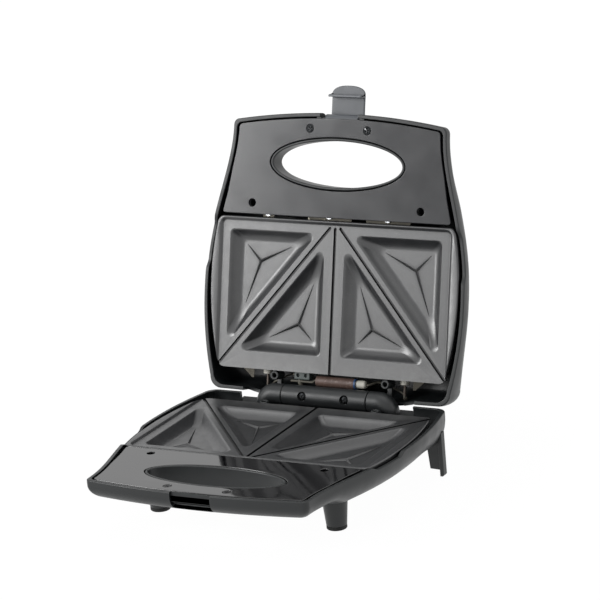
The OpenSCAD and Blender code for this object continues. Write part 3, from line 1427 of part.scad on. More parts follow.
color(tube_colour) in_base() heating_element();  // lower_heating_element
color(ceramic_colour) in_base() element_insulators();  // lower_element_insulators
color(steel_colour) in_base() reflector();  // lower_reflector
color(steel_colour) in_base() plate_screws();  // lower_plate_screws
color(steel_colour) in_base() reflector_screws();  // lower_reflector_screws
color(housing_colour) in_base() thermostat();
color(steel_colour) in_base() elbow_screws();
color(rubber_colour) in_base() inlet_gland();
color(latch_colour) in_base() cord_clamp();
color(steel_colour) in_base() cord_clamp_screws();
color(housing_colour) in_base() box_cover();
color(steel_colour) in_base() cover_screws();  // box_cover_screws
color(ceramic_colour) in_base() terminal_block();
color(lead_colour) in_base() base_leads();
color(steel_colour) in_lid_from_base() panel_screws();  // lid_panel_screws
color(tube_colour) in_lid_from_base() heating_element();  // upper_heating_element
color(ceramic_colour) in_lid_from_base() element_insulators();  // upper_element_insulators
color(steel_colour) in_lid_from_base() reflector();  // upper_reflector
color(steel_colour) in_lid_from_base() plate_screws();  // upper_plate_screws
color(steel_colour) in_lid_from_base() reflector_screws();  // upper_reflector_screws
color(fuse_colour) in_lid_from_base() fuse_sleeve();
color(ceramic_colour) in_lid_from_base() fuse_insulator();
color(latch_colour) in_lid_from_base() lead_connector();
color(lead_colour) in_lid_from_base() lid_leads();
color(power_lens_colour) in_lid_from_base() translate([-lamp_x, 0, 0]) lamp_lens();  // power_lamp_lens
color(ready_lens_colour) in_lid_from_base() translate([lamp_x, 0, 0]) lamp_lens();  // ready_lamp_lens
color(housing_colour) in_lid_from_base() lamp_holder();
color(ceramic_colour) in_lid_from_base() neon_lamps();
color(steel_colour) in_lid_from_base() latch_pin();
color(latch_colour) in_lid_from_base() latch_clip();
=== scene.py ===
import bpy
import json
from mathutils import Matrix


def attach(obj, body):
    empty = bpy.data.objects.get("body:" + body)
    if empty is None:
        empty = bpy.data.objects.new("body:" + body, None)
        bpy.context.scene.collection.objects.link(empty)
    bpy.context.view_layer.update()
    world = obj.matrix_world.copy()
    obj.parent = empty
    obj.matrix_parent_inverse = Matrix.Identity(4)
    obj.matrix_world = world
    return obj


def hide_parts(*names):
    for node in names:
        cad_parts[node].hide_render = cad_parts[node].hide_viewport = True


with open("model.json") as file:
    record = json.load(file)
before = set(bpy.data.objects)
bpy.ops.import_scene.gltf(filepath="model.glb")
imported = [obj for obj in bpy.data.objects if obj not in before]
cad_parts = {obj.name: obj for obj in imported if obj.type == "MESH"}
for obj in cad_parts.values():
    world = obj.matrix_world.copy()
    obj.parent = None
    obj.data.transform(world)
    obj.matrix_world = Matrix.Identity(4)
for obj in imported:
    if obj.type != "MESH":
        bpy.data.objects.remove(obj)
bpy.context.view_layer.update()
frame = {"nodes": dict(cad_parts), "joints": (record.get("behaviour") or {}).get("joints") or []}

import json
import math

import bmesh
import bpy
from mathutils import Matrix, Vector
from mathutils.geometry import tessellate_polygon

# A form is (points, faces) in millimetres. Its points are (x, f, z): x to the right, f forward
# of the hinge axis and z over the parting plane, with each half drawn as if it were the base.

# ---- Sizes, as in the part's source ----
body_half_w, widest_f, handle_half_w, front_f = 117.0, 80.0, 95.5, 228.4
front_arc_r, front_corner_r, rear_draw_in, rear_corner_r = 566.0, 5.0, 8.5, 10.0
open_angle = math.radians(105)
handle_depth, wall, rim_w, rim_gap, scallop_depth = 16.5, 2.4, 3.0, 0.8, 3.0
side_band, handle_band, handle_draw_in, rear_wall_draw_in = 4.0, 5.0, 12.0, 8.0
rear_gap_half_w = 78.0
panel_t, panel_side_margin, panel_front_margin, panel_rear_f = 2.5, 5.3, 4.3, 144.2
oval_half_l, oval_half_h, oval_f, sleeve_wall, sleeve_gap = 57.9, 18.6, 187.5, 2.3, 0.7
panel_screw, deep_screw = (25.6, 215.4), (75.7, 153.3)
plate_rear_f, plate_front_f, plate_t, wing_gap, face_half_w, face_step = 18.4, 142.0, 3.8, 2.3, 103.5, 1.8
pocket_depth, pocket_r, side_land, front_land = 7.2, 4.0, 8.7, 11.3
rear_land, centre_land, diagonal_land, groove_w, groove_depth, plate_gap = 14.6, 9.7, 5.8, 2.6, 1.5, 1.0
barrel_r, barrel_half_l, barrel_bore_r, hinge_end_gap, elbow_x = 8.3, 38.0, 5.0, 0.4, 55.6
deck_gap, barrel_screw_x = 1.2, 19.0
latch_half_w, latch_pivot_f, latch_pivot_z, hook_reach = 14.8, 223.5, 8.5, 18.0
latch_tip_reach, latch_t, hook_depth, notch_gap = 27.5, 2.4, 7.3, 2.4
foot_x, foot_f, foot_top_r, foot_tip_r, foot_tip_h = 77.5, 144.0, 10.0, 8.0, 3.0
leg_t, leg_front_f, leg_rear_f, leg_plate_w, leg_plate_clear = 3.4, 20.0, 14.0, 13.0, 4.0
inlet_bore_r, inlet_x = 3.3, 30.0

MM = 0.001
hinge = Vector(next(j for j in frame["joints"] if j["name"] == "lid_hinge")["pos_m"])
parting_z = hinge.z / MM
PLACE = {
    "base": Matrix.Translation(hinge) @ Matrix.Scale(MM, 4),
    "lid": Matrix.Translation(hinge) @ Matrix.Rotation(-open_angle, 4, "X")
    @ Matrix.Scale(-1, 4, (0, 0, 1)) @ Matrix.Scale(MM, 4),
}
PLACE["latch"] = PLACE["lid"]


class Half:
    def __init__(self, depth, draw_in, bow, crown):
        self.depth, self.draw_in, self.bow, self.crown = depth, draw_in, bow, crown


BASE = Half(26.0, 26.0, 0.0, 0.0)
LID = Half(34.0, 34.0, 5.0, 2.0)


# ---- Curves shared by both halves ----
def mix(a, b, t):
    return a + (b - a) * t


def quarter(steps):
    """Angles of a quarter turn, in even steps."""
    return [math.pi / 2 * i / steps for i in range(steps + 1)]


def smooth(t):
    u = max(0.0, min(1.0, t))
    return u * u * (3 - 2 * u)


def front_edge(x):
    return front_f - (front_arc_r - math.sqrt(front_arc_r ** 2 - x * x))


front_corner_f = front_edge(handle_half_w - front_corner_r) - front_corner_r
rear_edge_in = 0.5
rear_side_f = rear_corner_r + rear_edge_in
middle_f = front_f / 2
handle_start_f, handle_full_f = plate_front_f + 14, oval_f - 1.5


def side_x(f):
    if f > widest_f:
        share = min(1.0, (f - widest_f) / (front_corner_f - widest_f)) ** 1.25
        return mix(body_half_w, handle_half_w, smooth(share))
    return body_half_w - rear_draw_in * ((widest_f - f) / (widest_f - rear_side_f)) ** 2


def handle_share(f):
    return smooth((f - handle_start_f) / (handle_full_f - handle_start_f))


straight_front_w = handle_half_w - front_corner_r
straight_rear_w = side_x(rear_side_f) - rear_corner_r
bow_half_w = rear_gap_half_w - 2


def half_outline(front_n=24, corner_n=7, side_n=72, rear_n=22):
    points = [(straight_front_w * i / front_n, front_edge(straight_front_w * i / front_n), 0.0)
              for i in range(front_n + 1)]
    for a in quarter(corner_n)[1:]:
        points.append((straight_front_w + front_corner_r * math.sin(a),
                       front_corner_f + front_corner_r * math.cos(a), 0.0))
    for i in range(1, side_n + 1):
        f = mix(front_corner_f, rear_side_f, i / side_n)
        points.append((side_x(f), f, 0.0))
    for a in quarter(corner_n)[1:]:
        points.append((straight_rear_w + rear_corner_r * math.cos(a),
                       rear_side_f - rear_corner_r * math.sin(a), 0.0))
    for i in range(1, rear_n + 1):
        x = straight_rear_w * (1 - i / rear_n)
        points.append((x, rear_edge_in * (x / straight_rear_w) ** 2, 1 - min(1, x / bow_half_w) ** 4))
    return points


OUTLINE = half_outline()


def side_draw_in(f, half):
    return mix(mix(rear_wall_draw_in, half.draw_in, smooth(f / 60)), handle_draw_in, handle_share(f))


def section_depth(f, half):
    return mix(half.depth, handle_depth, handle_share(f))


def section_band(f):
    return mix(side_band, handle_band, handle_share(f))


def scallop(f):
    return scallop_depth * smooth((f - 97) / 8) * smooth((plate_front_f - f) / 8)


def end_draw_in(f):
    return mix(rear_wall_draw_in, handle_draw_in, handle_share(f))


def drawn_in(x, f, inset_x, inset_f):
    x = x * (1 - inset_x / side_x(min(f, front_corner_f)))
    if f > middle_f:
        return x, middle_f + (f - middle_f) * (1 - inset_f / (front_f - middle_f))
    return x, middle_f - (middle_f - f) * (1 - inset_f / middle_f)


def outside_depth(x, f, half):
    """Depth of the outside face at a plan point near the middle of the shell."""
    g = f
    for _ in range(6):
        reach = (front_f - middle_f) if f > middle_f else middle_f
        g = middle_f + (f - middle_f) / (1 - end_draw_in(g) / reach)
    edge = side_x(min(g, front_corner_f)) - side_draw_in(g, half)
    rise = half.crown * (1 - handle_share(g)) * max(0.0, 1 - (x / edge) ** 2)
    return section_depth(g, half) + rise


# ---- Forms ----
def joined(*forms):
    points, faces = [], []
    for p, q in forms:
        start = len(points)
        points += list(p)
        faces += [tuple(start + i for i in face) for face in q]
    return points, faces


def mapped(form, change, flip=False):
    points, faces = form
    faces = [tuple(reversed(face)) for face in faces] if flip else faces
    return [change(p) for p in points], faces


def mirrored(form):
    return mapped(form, lambda p: (-p[0], p[1], p[2]), flip=True)


def both(form):
    return joined(form, mirrored(form))


def moved(form, x=0.0, f=0.0, z=0.0):
    return mapped(form, lambda p: (p[0] + x, p[1] + f, p[2] + z))


def along_x(form):
    """Turns a form drawn along z so that it runs along x."""
    return mapped(form, lambda p: (p[2], p[1], -p[0]))


def along_f(form):
    """Turns a form drawn along z so that it runs forward."""
    return mapped(form, lambda p: (p[0], p[2], p[1]), flip=True)


def upside_down(form):
    return mapped(form, lambda p: (p[0], -p[1], -p[2]))


def bands(rings, first=0):
    """Faces between rings that follow each other in the list of points."""
    n = len(rings[0])
    faces = []
    for k in range(len(rings) - 1):
        here, above = first + k * n, first + (k + 1) * n
        for i in range(n):
            j = (i + 1) % n
            faces.append((here + i, here + j, above + j, above + i))
    return faces


def loft(rings, around=False):
    """Skin over rings. Its ends are closed, or joined to each other when it runs around."""
    points = [p for ring in rings for p in ring]
    faces = bands(rings)
    n = len(rings[0])
    if around:
        last = (len(rings) - 1) * n
        faces += [(last + i, last + (i + 1) % n, (i + 1) % n, i) for i in range(n)]
    else:
        faces.append(tuple(range(n - 1, -1, -1)))
        faces.append(tuple((len(rings) - 1) * n + i for i in range(n)))
    return points, faces


def circle(r, n=40, x=0.0, f=0.0):
    return [(x + r * math.cos(2 * math.pi * i / n), f + r * math.sin(2 * math.pi * i / n))
            for i in range(n)]


def lathe(profile, n=40, around=False):
    """Turns [radius, z] points about z. A profile that comes back on itself is a ring."""
    rings = [[(x, f, z) for x, f in circle(max(r, 0.0005), n)] for r, z in profile]
    return loft(rings, around)


def bend(p, corner, q, steps):
    """Points of a curve from p to q that is drawn towards a corner."""
    return [tuple(p * (1 - t) ** 2 + corner * (2 * t * (1 - t)) + q * t * t)
            for t in (i / steps for i in range(steps + 1))]


def rounded(profile, r, steps=4):
    """Rounds the inner corners of an open [radius, z] profile."""
    out = [profile[0]]
    for a, b, c in zip(profile, profile[1:], profile[2:]):
        before, after = Vector(a) - Vector(b), Vector(c) - Vector(b)
        cut = min(r, before.length * 0.49, after.length * 0.49)
        p, q = Vector(b) + before.normalized() * cut, Vector(b) + after.normalized() * cut
        out += bend(p, Vector(b), q, steps)
    out.append(profile[-1])
    return out


def offset_loop(loop, inset):
    """Moves a loop of plan points to its left by inset."""
    n = len(loop)
    out = []
    for i in range(n):
        a, b, c = Vector(loop[i - 1]), Vector(loop[i]), Vector(loop[(i + 1) % n])
        u, v = (b - a), (c - b)
        u = u.normalized() if u.length > 1e-9 else v.normalized()
        v = v.normalized() if v.length > 1e-9 else u
        m = Vector((-u.y - v.y, u.x + v.x))
        m = m / max(0.4, m.length ** 2 / 2) if m.length > 1e-9 else Vector((0, 0))
        out.append((b.x + m.x * inset, b.y + m.y * inset))
    return out


def area(loop):
    return sum(a[0] * b[1] - b[0] * a[1] for a, b in zip(loop, loop[1:] + loop[:1])) / 2


def wound(loop, left=True):
    return loop if (area(loop) > 0) == left else loop[::-1]


def cap(loops, starts, up):
    """Faces over an outer loop with holes, given each loop's first point in the form."""
    flat = [[Vector((p[0], p[1], 0)) for p in loop] for loop in loops]
    index = [start + i for loop, start in zip(loops, starts) for i in range(len(loop))]
    where = [p for loop in loops for p in loop]
    faces = []
    for tri in tessellate_polygon(flat):
        a, b, c = [where[i] for i in tri]
        turn = (b[0] - a[0]) * (c[1] - a[1]) - (b[1] - a[1]) * (c[0] - a[0])
        # f runs against Y, so a face that looks up winds the other way here
        tri = tri if (turn > 0) != up else tri[::-1]
        faces.append(tuple(index[i] for i in tri))
    return faces


def slab(outer, holes, low, high, r=0.4, steps=3):
    """Flat piece with holes and with rounded edges above and below."""
    loops = [wound(outer)] + [wound(hole, left=False) for hole in holes]
    heights = [(r * (1 - math.sin(a)), low + r * (1 - math.cos(a))) for a in quarter(steps)]
    heights += [(inset, high + low - z) for inset, z in reversed(heights)]
    points, faces, lows, highs, low_loops, high_loops = [], [], [], [], [], []
    for loop in loops:
        rings = [[(p[0], p[1], z) for p in offset_loop(loop, inset)] for inset, z in heights]
        start = len(points)
        faces += bands(rings, start)
        points += [p for ring in rings for p in ring]
        lows.append(start)
        highs.append(start + (len(rings) - 1) * len(loop))
        low_loops.append(rings[0])
        high_loops.append(rings[-1])
    faces += cap(low_loops, lows, up=False) + cap(high_loops, highs, up=True)
    return points, faces


def rect(x0, x1, f0, f1, r=0.5, steps=3):
    points = []
    corners = ((x1 - r, f1 - r, 0), (x0 + r, f1 - r, 90), (x0 + r, f0 + r, 180), (x1 - r, f0 + r, 270))
    for cx, cf, a0 in corners:
        for i in range(steps + 1):
            a = math.radians(a0 + 90 * i / steps)
            points.append((cx + r * math.cos(a), cf + r * math.sin(a)))
    return points


def block(x0, x1, f0, f1, z0, z1, r=0.4):
    r = min(r, (x1 - x0) / 3, (f1 - f0) / 3, (z1 - z0) / 3)
    return slab(rect(x0, x1, f0, f1, r), [], z0, z1, r)


def raw_box(x0, x1, f0, f1, z0, z1):
    ring = [(x0, f0), (x1, f0), (x1, f1), (x0, f1)]
    return loft([[(x, f, z) for x, f in ring] for z in (z0, z1)])


def raw_strip(half_w, f0, f1, z0, z1):
    return raw_box(-half_w, half_w, f0, f1, z0, z1)


def rod(r, z0, z1, n=40, x=0.0, f=0.0):
    return moved(loft([[(p, q, z) for p, q in circle(r, n)] for z in (z0, z1)]), x, f)


def sweep(path, radius, n=20):
    """Round bar along a path of points. radius is a number or one for each point."""
    path = [Vector(p) for p in path]
    radii = radius if isinstance(radius, (list, tuple)) else [radius] * len(path)
    tangent = (path[1] - path[0]).normalized()
    side = tangent.orthogonal().normalized()
    rings = []
    for i, p in enumerate(path):
        ahead = (path[min(i + 1, len(path) - 1)] - path[max(i - 1, 0)]).normalized()
        side = tangent.rotation_difference(ahead) @ side
        side = (side - ahead * side.dot(ahead)).normalized()
        tangent = ahead
        other = ahead.cross(side)
        rings.append([tuple(p + (side * math.cos(a) + other * math.sin(a)) * radii[i])
                      for a in (2 * math.pi * k / n for k in range(n))])
    return loft(rings)


def spline(points, steps=8):
    """Smooth path through points."""
    pts = [Vector(p) for p in points]
    pts = [pts[0] * 2 - pts[1]] + pts + [pts[-1] * 2 - pts[-2]]
    out = []
    for a, b, c, d in zip(pts, pts[1:], pts[2:], pts[3:]):
        for i in range(steps):
            t = i / steps
            out.append(tuple(0.5 * ((2 * b) + (c - a) * t + (2 * a - 5 * b + 4 * c - d) * t * t
                                    + (3 * b - a - 3 * c + d) * t ** 3)))
    return out + [tuple(pts[-2])]


def to_object(name, form):
    mesh = bpy.data.meshes.new(name)
    mesh.from_pydata([(p[0], -p[1], p[2]) for p in form[0]], [], form[1])
    mesh.validate()
    work = bmesh.new()
    work.from_mesh(mesh)
    bmesh.ops.remove_doubles(work, verts=work.verts, dist=0.0004)
    bmesh.ops.recalc_face_normals(work, faces=work.faces)
    work.to_mesh(mesh)
    work.free()
    obj = bpy.data.objects.new(name, mesh)
    bpy.context.scene.collection.objects.link(obj)
    return obj


def from_object(obj):
    form = ([(v.co.x, -v.co.y, v.co.z) for v in obj.data.vertices],
            [tuple(p.vertices) for p in obj.data.polygons])
    bpy.data.objects.remove(obj)
    return form


def combined(form, tools):
    """The form with every tool cut out of it."""
    obj = to_object("work", form)
    helpers = [to_object("tool", tool) for tool in tools]
    for helper in helpers:
        cut = obj.modifiers.new("cut", "BOOLEAN")
        cut.operation, cut.solver, cut.object = "DIFFERENCE", "EXACT", helper
    bpy.context.view_layer.update()
    mesh = bpy.data.meshes.new_from_object(obj.evaluated_get(bpy.context.evaluated_depsgraph_get()))
    obj.modifiers.clear()
    obj.data = mesh
    for helper in helpers:
        bpy.data.objects.remove(helper)
    return from_object(obj)


def softened(form, width, angle=35, segments=2):
    """Bevels the sharp edges of a clean form."""
    obj = to_object("work", form)
    work = bmesh.new()
    work.from_mesh(obj.data)
    bmesh.ops.dissolve_limit(work, angle_limit=0.01, verts=work.verts, edges=work.edges)
    edges = [e for e in work.edges
             if len(e.link_faces) == 2 and e.calc_face_angle(0) > math.radians(angle)]
    bmesh.ops.bevel(work, geom=edges, offset=width, segments=segments, profile=0.6,
                    affect="EDGES", clamp_overlap=True)
    work.to_mesh(obj.data)
    work.free()
    return from_object(obj)


def piece(name, form, side, material, nodes=(), sharp=35):
    """Puts a form in its place, gives it its material, and hands it to its body."""
    obj = to_object(name, form)
    obj.data.transform(PLACE[side])
    if side != "base":
        obj.data.flip_normals()
    obj.data.shade_smooth()
    obj.data.set_sharp_from_angle(angle=math.radians(sharp))
    obj.data.materials.append(material)
    obj.modifiers.new("normals", "WEIGHTED_NORMAL").keep_sharp = True
    if nodes:
        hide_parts(*nodes)
    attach(obj, side)
    return obj


# ---- Materials ----
def srgb(text):
    out = []
    for i in (1, 3, 5):
        v = int(text[i:i + 2], 16) / 255
        out.append(v / 12.92 if v <= 0.04045 else ((v + 0.055) / 1.055) ** 2.4)
    return tuple(out) + (1.0,)


def tint(colour, k):
    return tuple(min(1.0, c * k) for c in colour[:3]) + (1.0,)


def math_node(tree, operation, *values):
    """Result of a maths node whose inputs are sockets or numbers."""
    node = tree.nodes.new("ShaderNodeMath")
    node.operation = operation
    for socket, value in zip(node.inputs, values):
        if isinstance(value, bpy.types.NodeSocket):
            tree.links.new(value, socket)
        else:
            socket.default_value = value
    return node.outputs[0]


def map_range(tree, source, *limits):
    """Maps a value from one range, the first two limits, to another."""
    node = tree.nodes.new("ShaderNodeMapRange")
    for name, value in zip(("From Min", "From Max", "To Min", "To Max"), limits):
        node.inputs[name].default_value = value
    tree.links.new(source, node.inputs["Value"])
    return node.outputs["Result"]


NOISE_SPAN = (0.3, 0.7)


class Finish:
    """A procedural material: tone that drifts, grain, smudged gloss, worn edges and painted shade in corners.
    """

    def __init__(self, name, colour, rough, metallic=0.0, **fixed):
        self.material = bpy.data.materials.new(name)
        self.material.use_nodes = True
        self.tree = self.material.node_tree
        self.nodes, self.links = self.tree.nodes, self.tree.links
        self.shader = self.nodes["Principled BSDF"]
        self.shader.inputs["Metallic"].default_value = metallic
        self.shader.inputs["Roughness"].default_value = rough
        self.shader.inputs["Base Color"].default_value = colour
        for socket, value in fixed.items():
            self.shader.inputs[socket.replace("_", " ")].default_value = value
        self.colour, self.rough = colour, rough
        self.place = self.nodes.new("ShaderNodeTexCoord").outputs["Object"]
        self.heights = None
        self.colour_out = None

    def noise(self, scale, detail=4.0, roughness=0.55, stretch=None):
        node = self.nodes.new("ShaderNodeTexNoise")
        node.inputs["Scale"].default_value = scale
        node.inputs["Detail"].default_value = detail
        node.inputs["Roughness"].default_value = roughness
        source = self.place
        if stretch:
            mapping = self.nodes.new("ShaderNodeMapping")
            mapping.inputs["Scale"].default_value = stretch
            self.links.new(self.place, mapping.inputs["Vector"])
            source = mapping.outputs["Vector"]
        self.links.new(source, node.inputs["Vector"])
        return node.outputs["Fac"]

    def ramp(self, source, stops):
        node = self.nodes.new("ShaderNodeValToRGB")
        node.color_ramp.interpolation = "EASE"
        while len(node.color_ramp.elements) < len(stops):
            node.color_ramp.elements.new(0.5)
        for element, (at, colour) in zip(node.color_ramp.elements, stops):
            element.position = at
            element.color = colour
        self.links.new(source, node.inputs["Fac"])
        return node.outputs["Color"]

    def tone(self, scale, amount, detail=5.0, stretch=None):
        """Lighter and darker patches of the colour."""
        source = self.noise(scale, detail, stretch=stretch)
        tones = [tint(self.colour, 1 - amount), tint(self.colour, 1 + amount)]
        self.colour_out = self.ramp(source, list(zip(NOISE_SPAN, tones)))
        self.links.new(self.colour_out, self.shader.inputs["Base Color"])
        return self

    def over(self, factor, colour):
        """Another colour where factor is high."""
        node = self.nodes.new("ShaderNodeMix")
        node.data_type = "RGBA"
        self.links.new(factor, node.inputs[0])
        self.links.new(self.colour_out, node.inputs[6])
        node.inputs[7].default_value = colour
        self.colour_out = node.outputs[2]
        self.links.new(self.colour_out, self.shader.inputs["Base Color"])
        return self

    def specks(self, scale, share, colour):
        """Fine flecks of another colour."""
        source = self.noise(scale, 2.0)
        soft_edge = 0.06
        white = self.ramp(source, [(share, (0, 0, 0, 1)), (min(1.0, share + soft_edge), (1, 1, 1, 1))])
        return self.over(white, colour)

    def wear(self, amount, colour, start=0.53, end=0.6):
        """Rubbed colour along raised edges, broken up by noise."""
        shape = self.nodes.new("ShaderNodeNewGeometry").outputs["Pointiness"]
        edges = map_range(self.tree, shape, start, end, 0.0, amount)
        return self.over(math_node(self.tree, "MULTIPLY", edges, self.noise(180, 6.0, 0.7)), colour)

    def gloss(self, scale, spread, detail=6.0, stretch=None):
        """Roughness that varies by spread either way."""
        source = self.noise(scale, detail, stretch=stretch)
        rough = map_range(self.tree, source, *NOISE_SPAN, max(0.0, self.rough - spread),
                          min(1.0, self.rough + spread))
        self.links.new(rough, self.shader.inputs["Roughness"])
        return self

    def bump(self, scale, height, strength=1.0, detail=3.0, stretch=None):
        """Grain of the given height in metres."""
        node = self.nodes.new("ShaderNodeBump")
        node.inputs["Strength"].default_value = strength
        node.inputs["Distance"].default_value = height
        self.links.new(self.noise(scale, detail, stretch=stretch), node.inputs["Height"])
        if self.heights:
            self.links.new(self.heights, node.inputs["Normal"])
        self.heights = node.outputs["Normal"]
        self.links.new(self.heights, self.shader.inputs["Normal"])
        return self

    def painted_corner_shade(self, distance, power):
        """Painted shade: darker colour and less shine down in corners and grooves, taken from ambient
        occlusion.
        """
        node = self.nodes.new("ShaderNodeAmbientOcclusion")
        node.inputs["Distance"].default_value = distance
        node.samples = 8
        self.links.new(self.colour_out, node.inputs["Color"])
        self.links.new(node.outputs["Color"], self.shader.inputs["Base Color"])
        self.links.new(math_node(self.tree, "POWER", node.outputs["AO"], power),
                       self.shader.inputs["Specular IOR Level"])
        return self


housing = Finish("housing", srgb("#16191a"), 0.42).tone(9, 0.10).gloss(70, 0.06)
housing.wear(0.35, srgb("#5a5e5e")).bump(2600, 0.00002, 0.35).bump(30, 0.0002, 0.04)
base_gloss = Finish("base_panel_gloss", srgb("#111113"), 0.06, IOR=1.75)
base_gloss.tone(14, 0.25).gloss(38, 0.025).bump(7, 0.0004, 0.02).wear(0.3, srgb("#55565a"))
lid_gloss = Finish("lid_panel_satin", srgb("#26272a"), 0.22, IOR=1.55)
lid_gloss.tone(12, 0.16).gloss(45, 0.035).bump(3200, 0.00001, 0.25).wear(0.3, srgb("#606166"))
nonstick = Finish("nonstick", srgb("#1f2022"), 0.36, IOR=1.55)
nonstick.tone(22, 0.09).specks(2300, 0.63, srgb("#5a5b5c")).wear(0.5, srgb("#8b8b8a"))
# The last call paints shade into the plate's grooves and pocket corners: darker colour and less shine there.
nonstick.gloss(120, 0.06).bump(1500, 0.00004, 0.3).bump(60, 0.0002, 0.05).painted_corner_shade(0.004, 2.2)
hinge_black = Finish("hinge_black", srgb("#232526"), 0.40).tone(20, 0.12).gloss(90, 0.07)
hinge_black.wear(0.3, srgb("#5b5d5e")).bump(2400, 0.00002, 0.3)
latch_grey = Finish("latch_grey", srgb("#5e6165"), 0.40).tone(24, 0.08).gloss(110, 0.06)
latch_grey.wear(0.35, srgb("#a2a5a8")).bump(2400, 0.00002, 0.3)
rubber = Finish("rubber", srgb("#0b0b0b"), 0.8).tone(60, 0.25).gloss(150, 0.1).bump(1400, 0.00006, 0.4)
screw_black = Finish("screw_black", srgb("#1c1d1e"), 0.35, 1.0).tone(300, 0.3).gloss(500, 0.1)
screw_black.wear(0.7, srgb("#c9cacc")).bump(2500, 0.00002, 0.3)
zinc = Finish("zinc", srgb("#c4c6c9"), 0.28, 1.0).tone(240, 0.15).gloss(420, 0.1).bump(2600, 0.00002, 0.25)
steel = Finish("tray_steel", srgb("#3d3b36"), 0.25, 1.0).tone(18, 0.12).gloss(60, 0.09)
steel.specks(140, 0.66, srgb("#8f8a80")).bump(700, 0.00003, 0.25, stretch=(1, 0.04, 1))
heater = Finish("heater_tube", srgb("#5e5650"), 0.5, 0.8).tone(70, 0.3).gloss(160, 0.12)
heater.specks(260, 0.6, srgb("#37322f")).bump(1600, 0.00003, 0.4)
ceramic = Finish("ceramic", srgb("#dcd9ce"), 0.55).tone(80, 0.05).gloss(160, 0.1).bump(2200, 0.00003, 0.4)
thermostat_case = Finish("thermostat_case", srgb("#2a2624"), 0.5).tone(120, 0.2).gloss(200, 0.1)
thermostat_case.bump(1800, 0.00003, 0.4)
grey_plastic = Finish("grey_plastic", srgb("#4c5553"), 0.45).tone(90, 0.12).gloss(160, 0.1)
grey_plastic.bump(1800, 0.00003, 0.3)
lead_sheath = Finish("lead_sheath", srgb("#6d6a60"), 0.6).tone(160, 0.1).gloss(220, 0.1)
lead_sheath.bump(1500, 0.00012, 0.6, stretch=(1, 1, 0.4))
fuse_brown = Finish("fuse_brown", srgb("#66524a"), 0.5).tone(130, 0.14).gloss(240, 0.1)
fuse_brown.specks(700, 0.6, srgb("#83706a")).bump(1500, 0.00018, 0.7)
fuse_blue = Finish("fuse_blue", srgb("#35517a"), 0.45).tone(160, 0.1).gloss(220, 0.08)
fuse_blue.bump(1800, 0.00003, 0.3)
red_lens = Finish("red_lens", srgb("#b3180f"), 0.12, Transmission_Weight=0.55).tone(120, 0.12)
red_lens.gloss(200, 0.05).bump(500, 0.0001, 0.1)
green_lens = Finish("green_lens", srgb("#1c9a35"), 0.12, Transmission_Weight=0.55).tone(120, 0.12)
green_lens.gloss(200, 0.05).bump(500, 0.0001, 0.1)
lamp_glass = Finish("lamp_glass", srgb("#d8cfc0"), 0.1, Transmission_Weight=0.7).tone(150, 0.08)
lamp_glass.gloss(200, 0.04).bump(400, 0.0001, 0.1)

CAD_FINISH = {
    "lower_heating_element upper_heating_element": heater,
    "lower_element_insulators upper_element_insulators terminal_block": ceramic,
    "lower_reflector upper_reflector": steel,
    "lower_plate_screws upper_plate_screws lower_reflector_screws upper_reflector_screws": zinc,
    "elbow_screws cord_clamp_screws latch_pin": zinc,
    "cord_clamp lamp_holder": grey_plastic,
    "thermostat": thermostat_case,
    "neon_lamps": lamp_glass,
}
for names, finish in CAD_FINISH.items():
    for name in names.split():
        data = frame["nodes"][name].data
        data.materials.clear()
        data.materials.append(finish.material)


# ---- Housing shells ----
def whole(half_ring):
    return half_ring + [(-p[0], p[1], p[2]) for p in half_ring[-2:0:-1]]


def section_ring(a, skin, half):
    ring = []
    for x, f, share in OUTLINE:
        inward = 1 - math.cos(a)
        q = drawn_in(x, f, side_draw_in(f, half) * inward + skin, end_draw_in(f) * inward + skin)
        band = section_band(f)
        depth = band + (section_depth(f, half) - skin - band) * math.sin(a)
        ring.append((q[0], q[1] - half.bow * share * math.cos(a), -depth))
    return whole(ring)


def rim_ring(inset, drop):
    ring = []
    for x, f, _ in OUTLINE:
        q = drawn_in(x, f, inset, inset)
        ring.append((q[0], q[1], -rim_gap / 2 - scallop(f) - drop))
    return whole(ring)


def shell(half, inner_steps=9, outer_steps=18, columns=16):
    """Housing of one half: inner skin, rolled rim and outer skin, with both floors gridded."""
    edge_in, edge_out = 0.45, 0.8
    roll = quarter(4)
    rings = [section_ring(a, wall, half) for a in reversed(quarter(inner_steps))]
    rings += [rim_ring(rim_w - edge_in * (1 - math.cos(a)), edge_in * (1 - math.sin(a))) for a in roll]
    rings += [rim_ring(edge_out * (1 - math.sin(a)), edge_out * (1 - math.cos(a))) for a in roll]
    rings += [section_ring(a, 0.0, half) for a in quarter(outer_steps)]
    points = [p for ring in rings for p in ring]
    faces = bands(rings)
    n = len(rings[0])
    m = len(OUTLINE)

    def grid(ring_start, ring):
        start = len(points)
        for i in range(1, m - 1):
            x, f, z = ring[i]
            for c in range(1, columns):
                s = 1 - 2 * c / columns
                rise = half.crown * (1 - handle_share(f)) * (1 - s * s)
                points.append((x * s, f, z - rise))

        def at(i, c):
            if c == 0 or i in (0, m - 1):
                return ring_start + i
            if c == columns:
                return ring_start + n - i
            return start + (i - 1) * (columns - 1) + c - 1

        for i in range(m - 1):
            for c in range(columns):
                loop = [at(i, c), at(i + 1, c), at(i + 1, c + 1), at(i, c + 1)]
                face = [v for k, v in enumerate(loop) if v not in loop[:k]]
                if len(face) > 2:
                    faces.append(tuple(face))

    grid(0, rings[0])
    grid((len(rings) - 1) * n, rings[-1])
    return points, faces


def oval(grow, n=112):
    return [((oval_half_l + grow) * math.cos(2 * math.pi * i / n),
             oval_f + (oval_half_h + grow) * math.sin(2 * math.pi * i / n)) for i in range(n)]


def oval_prism(grow):
    return loft([[(x, f, z) for x, f in oval(grow)] for z in (-60.0, 10.0)])


sleeve_flare = 1.4


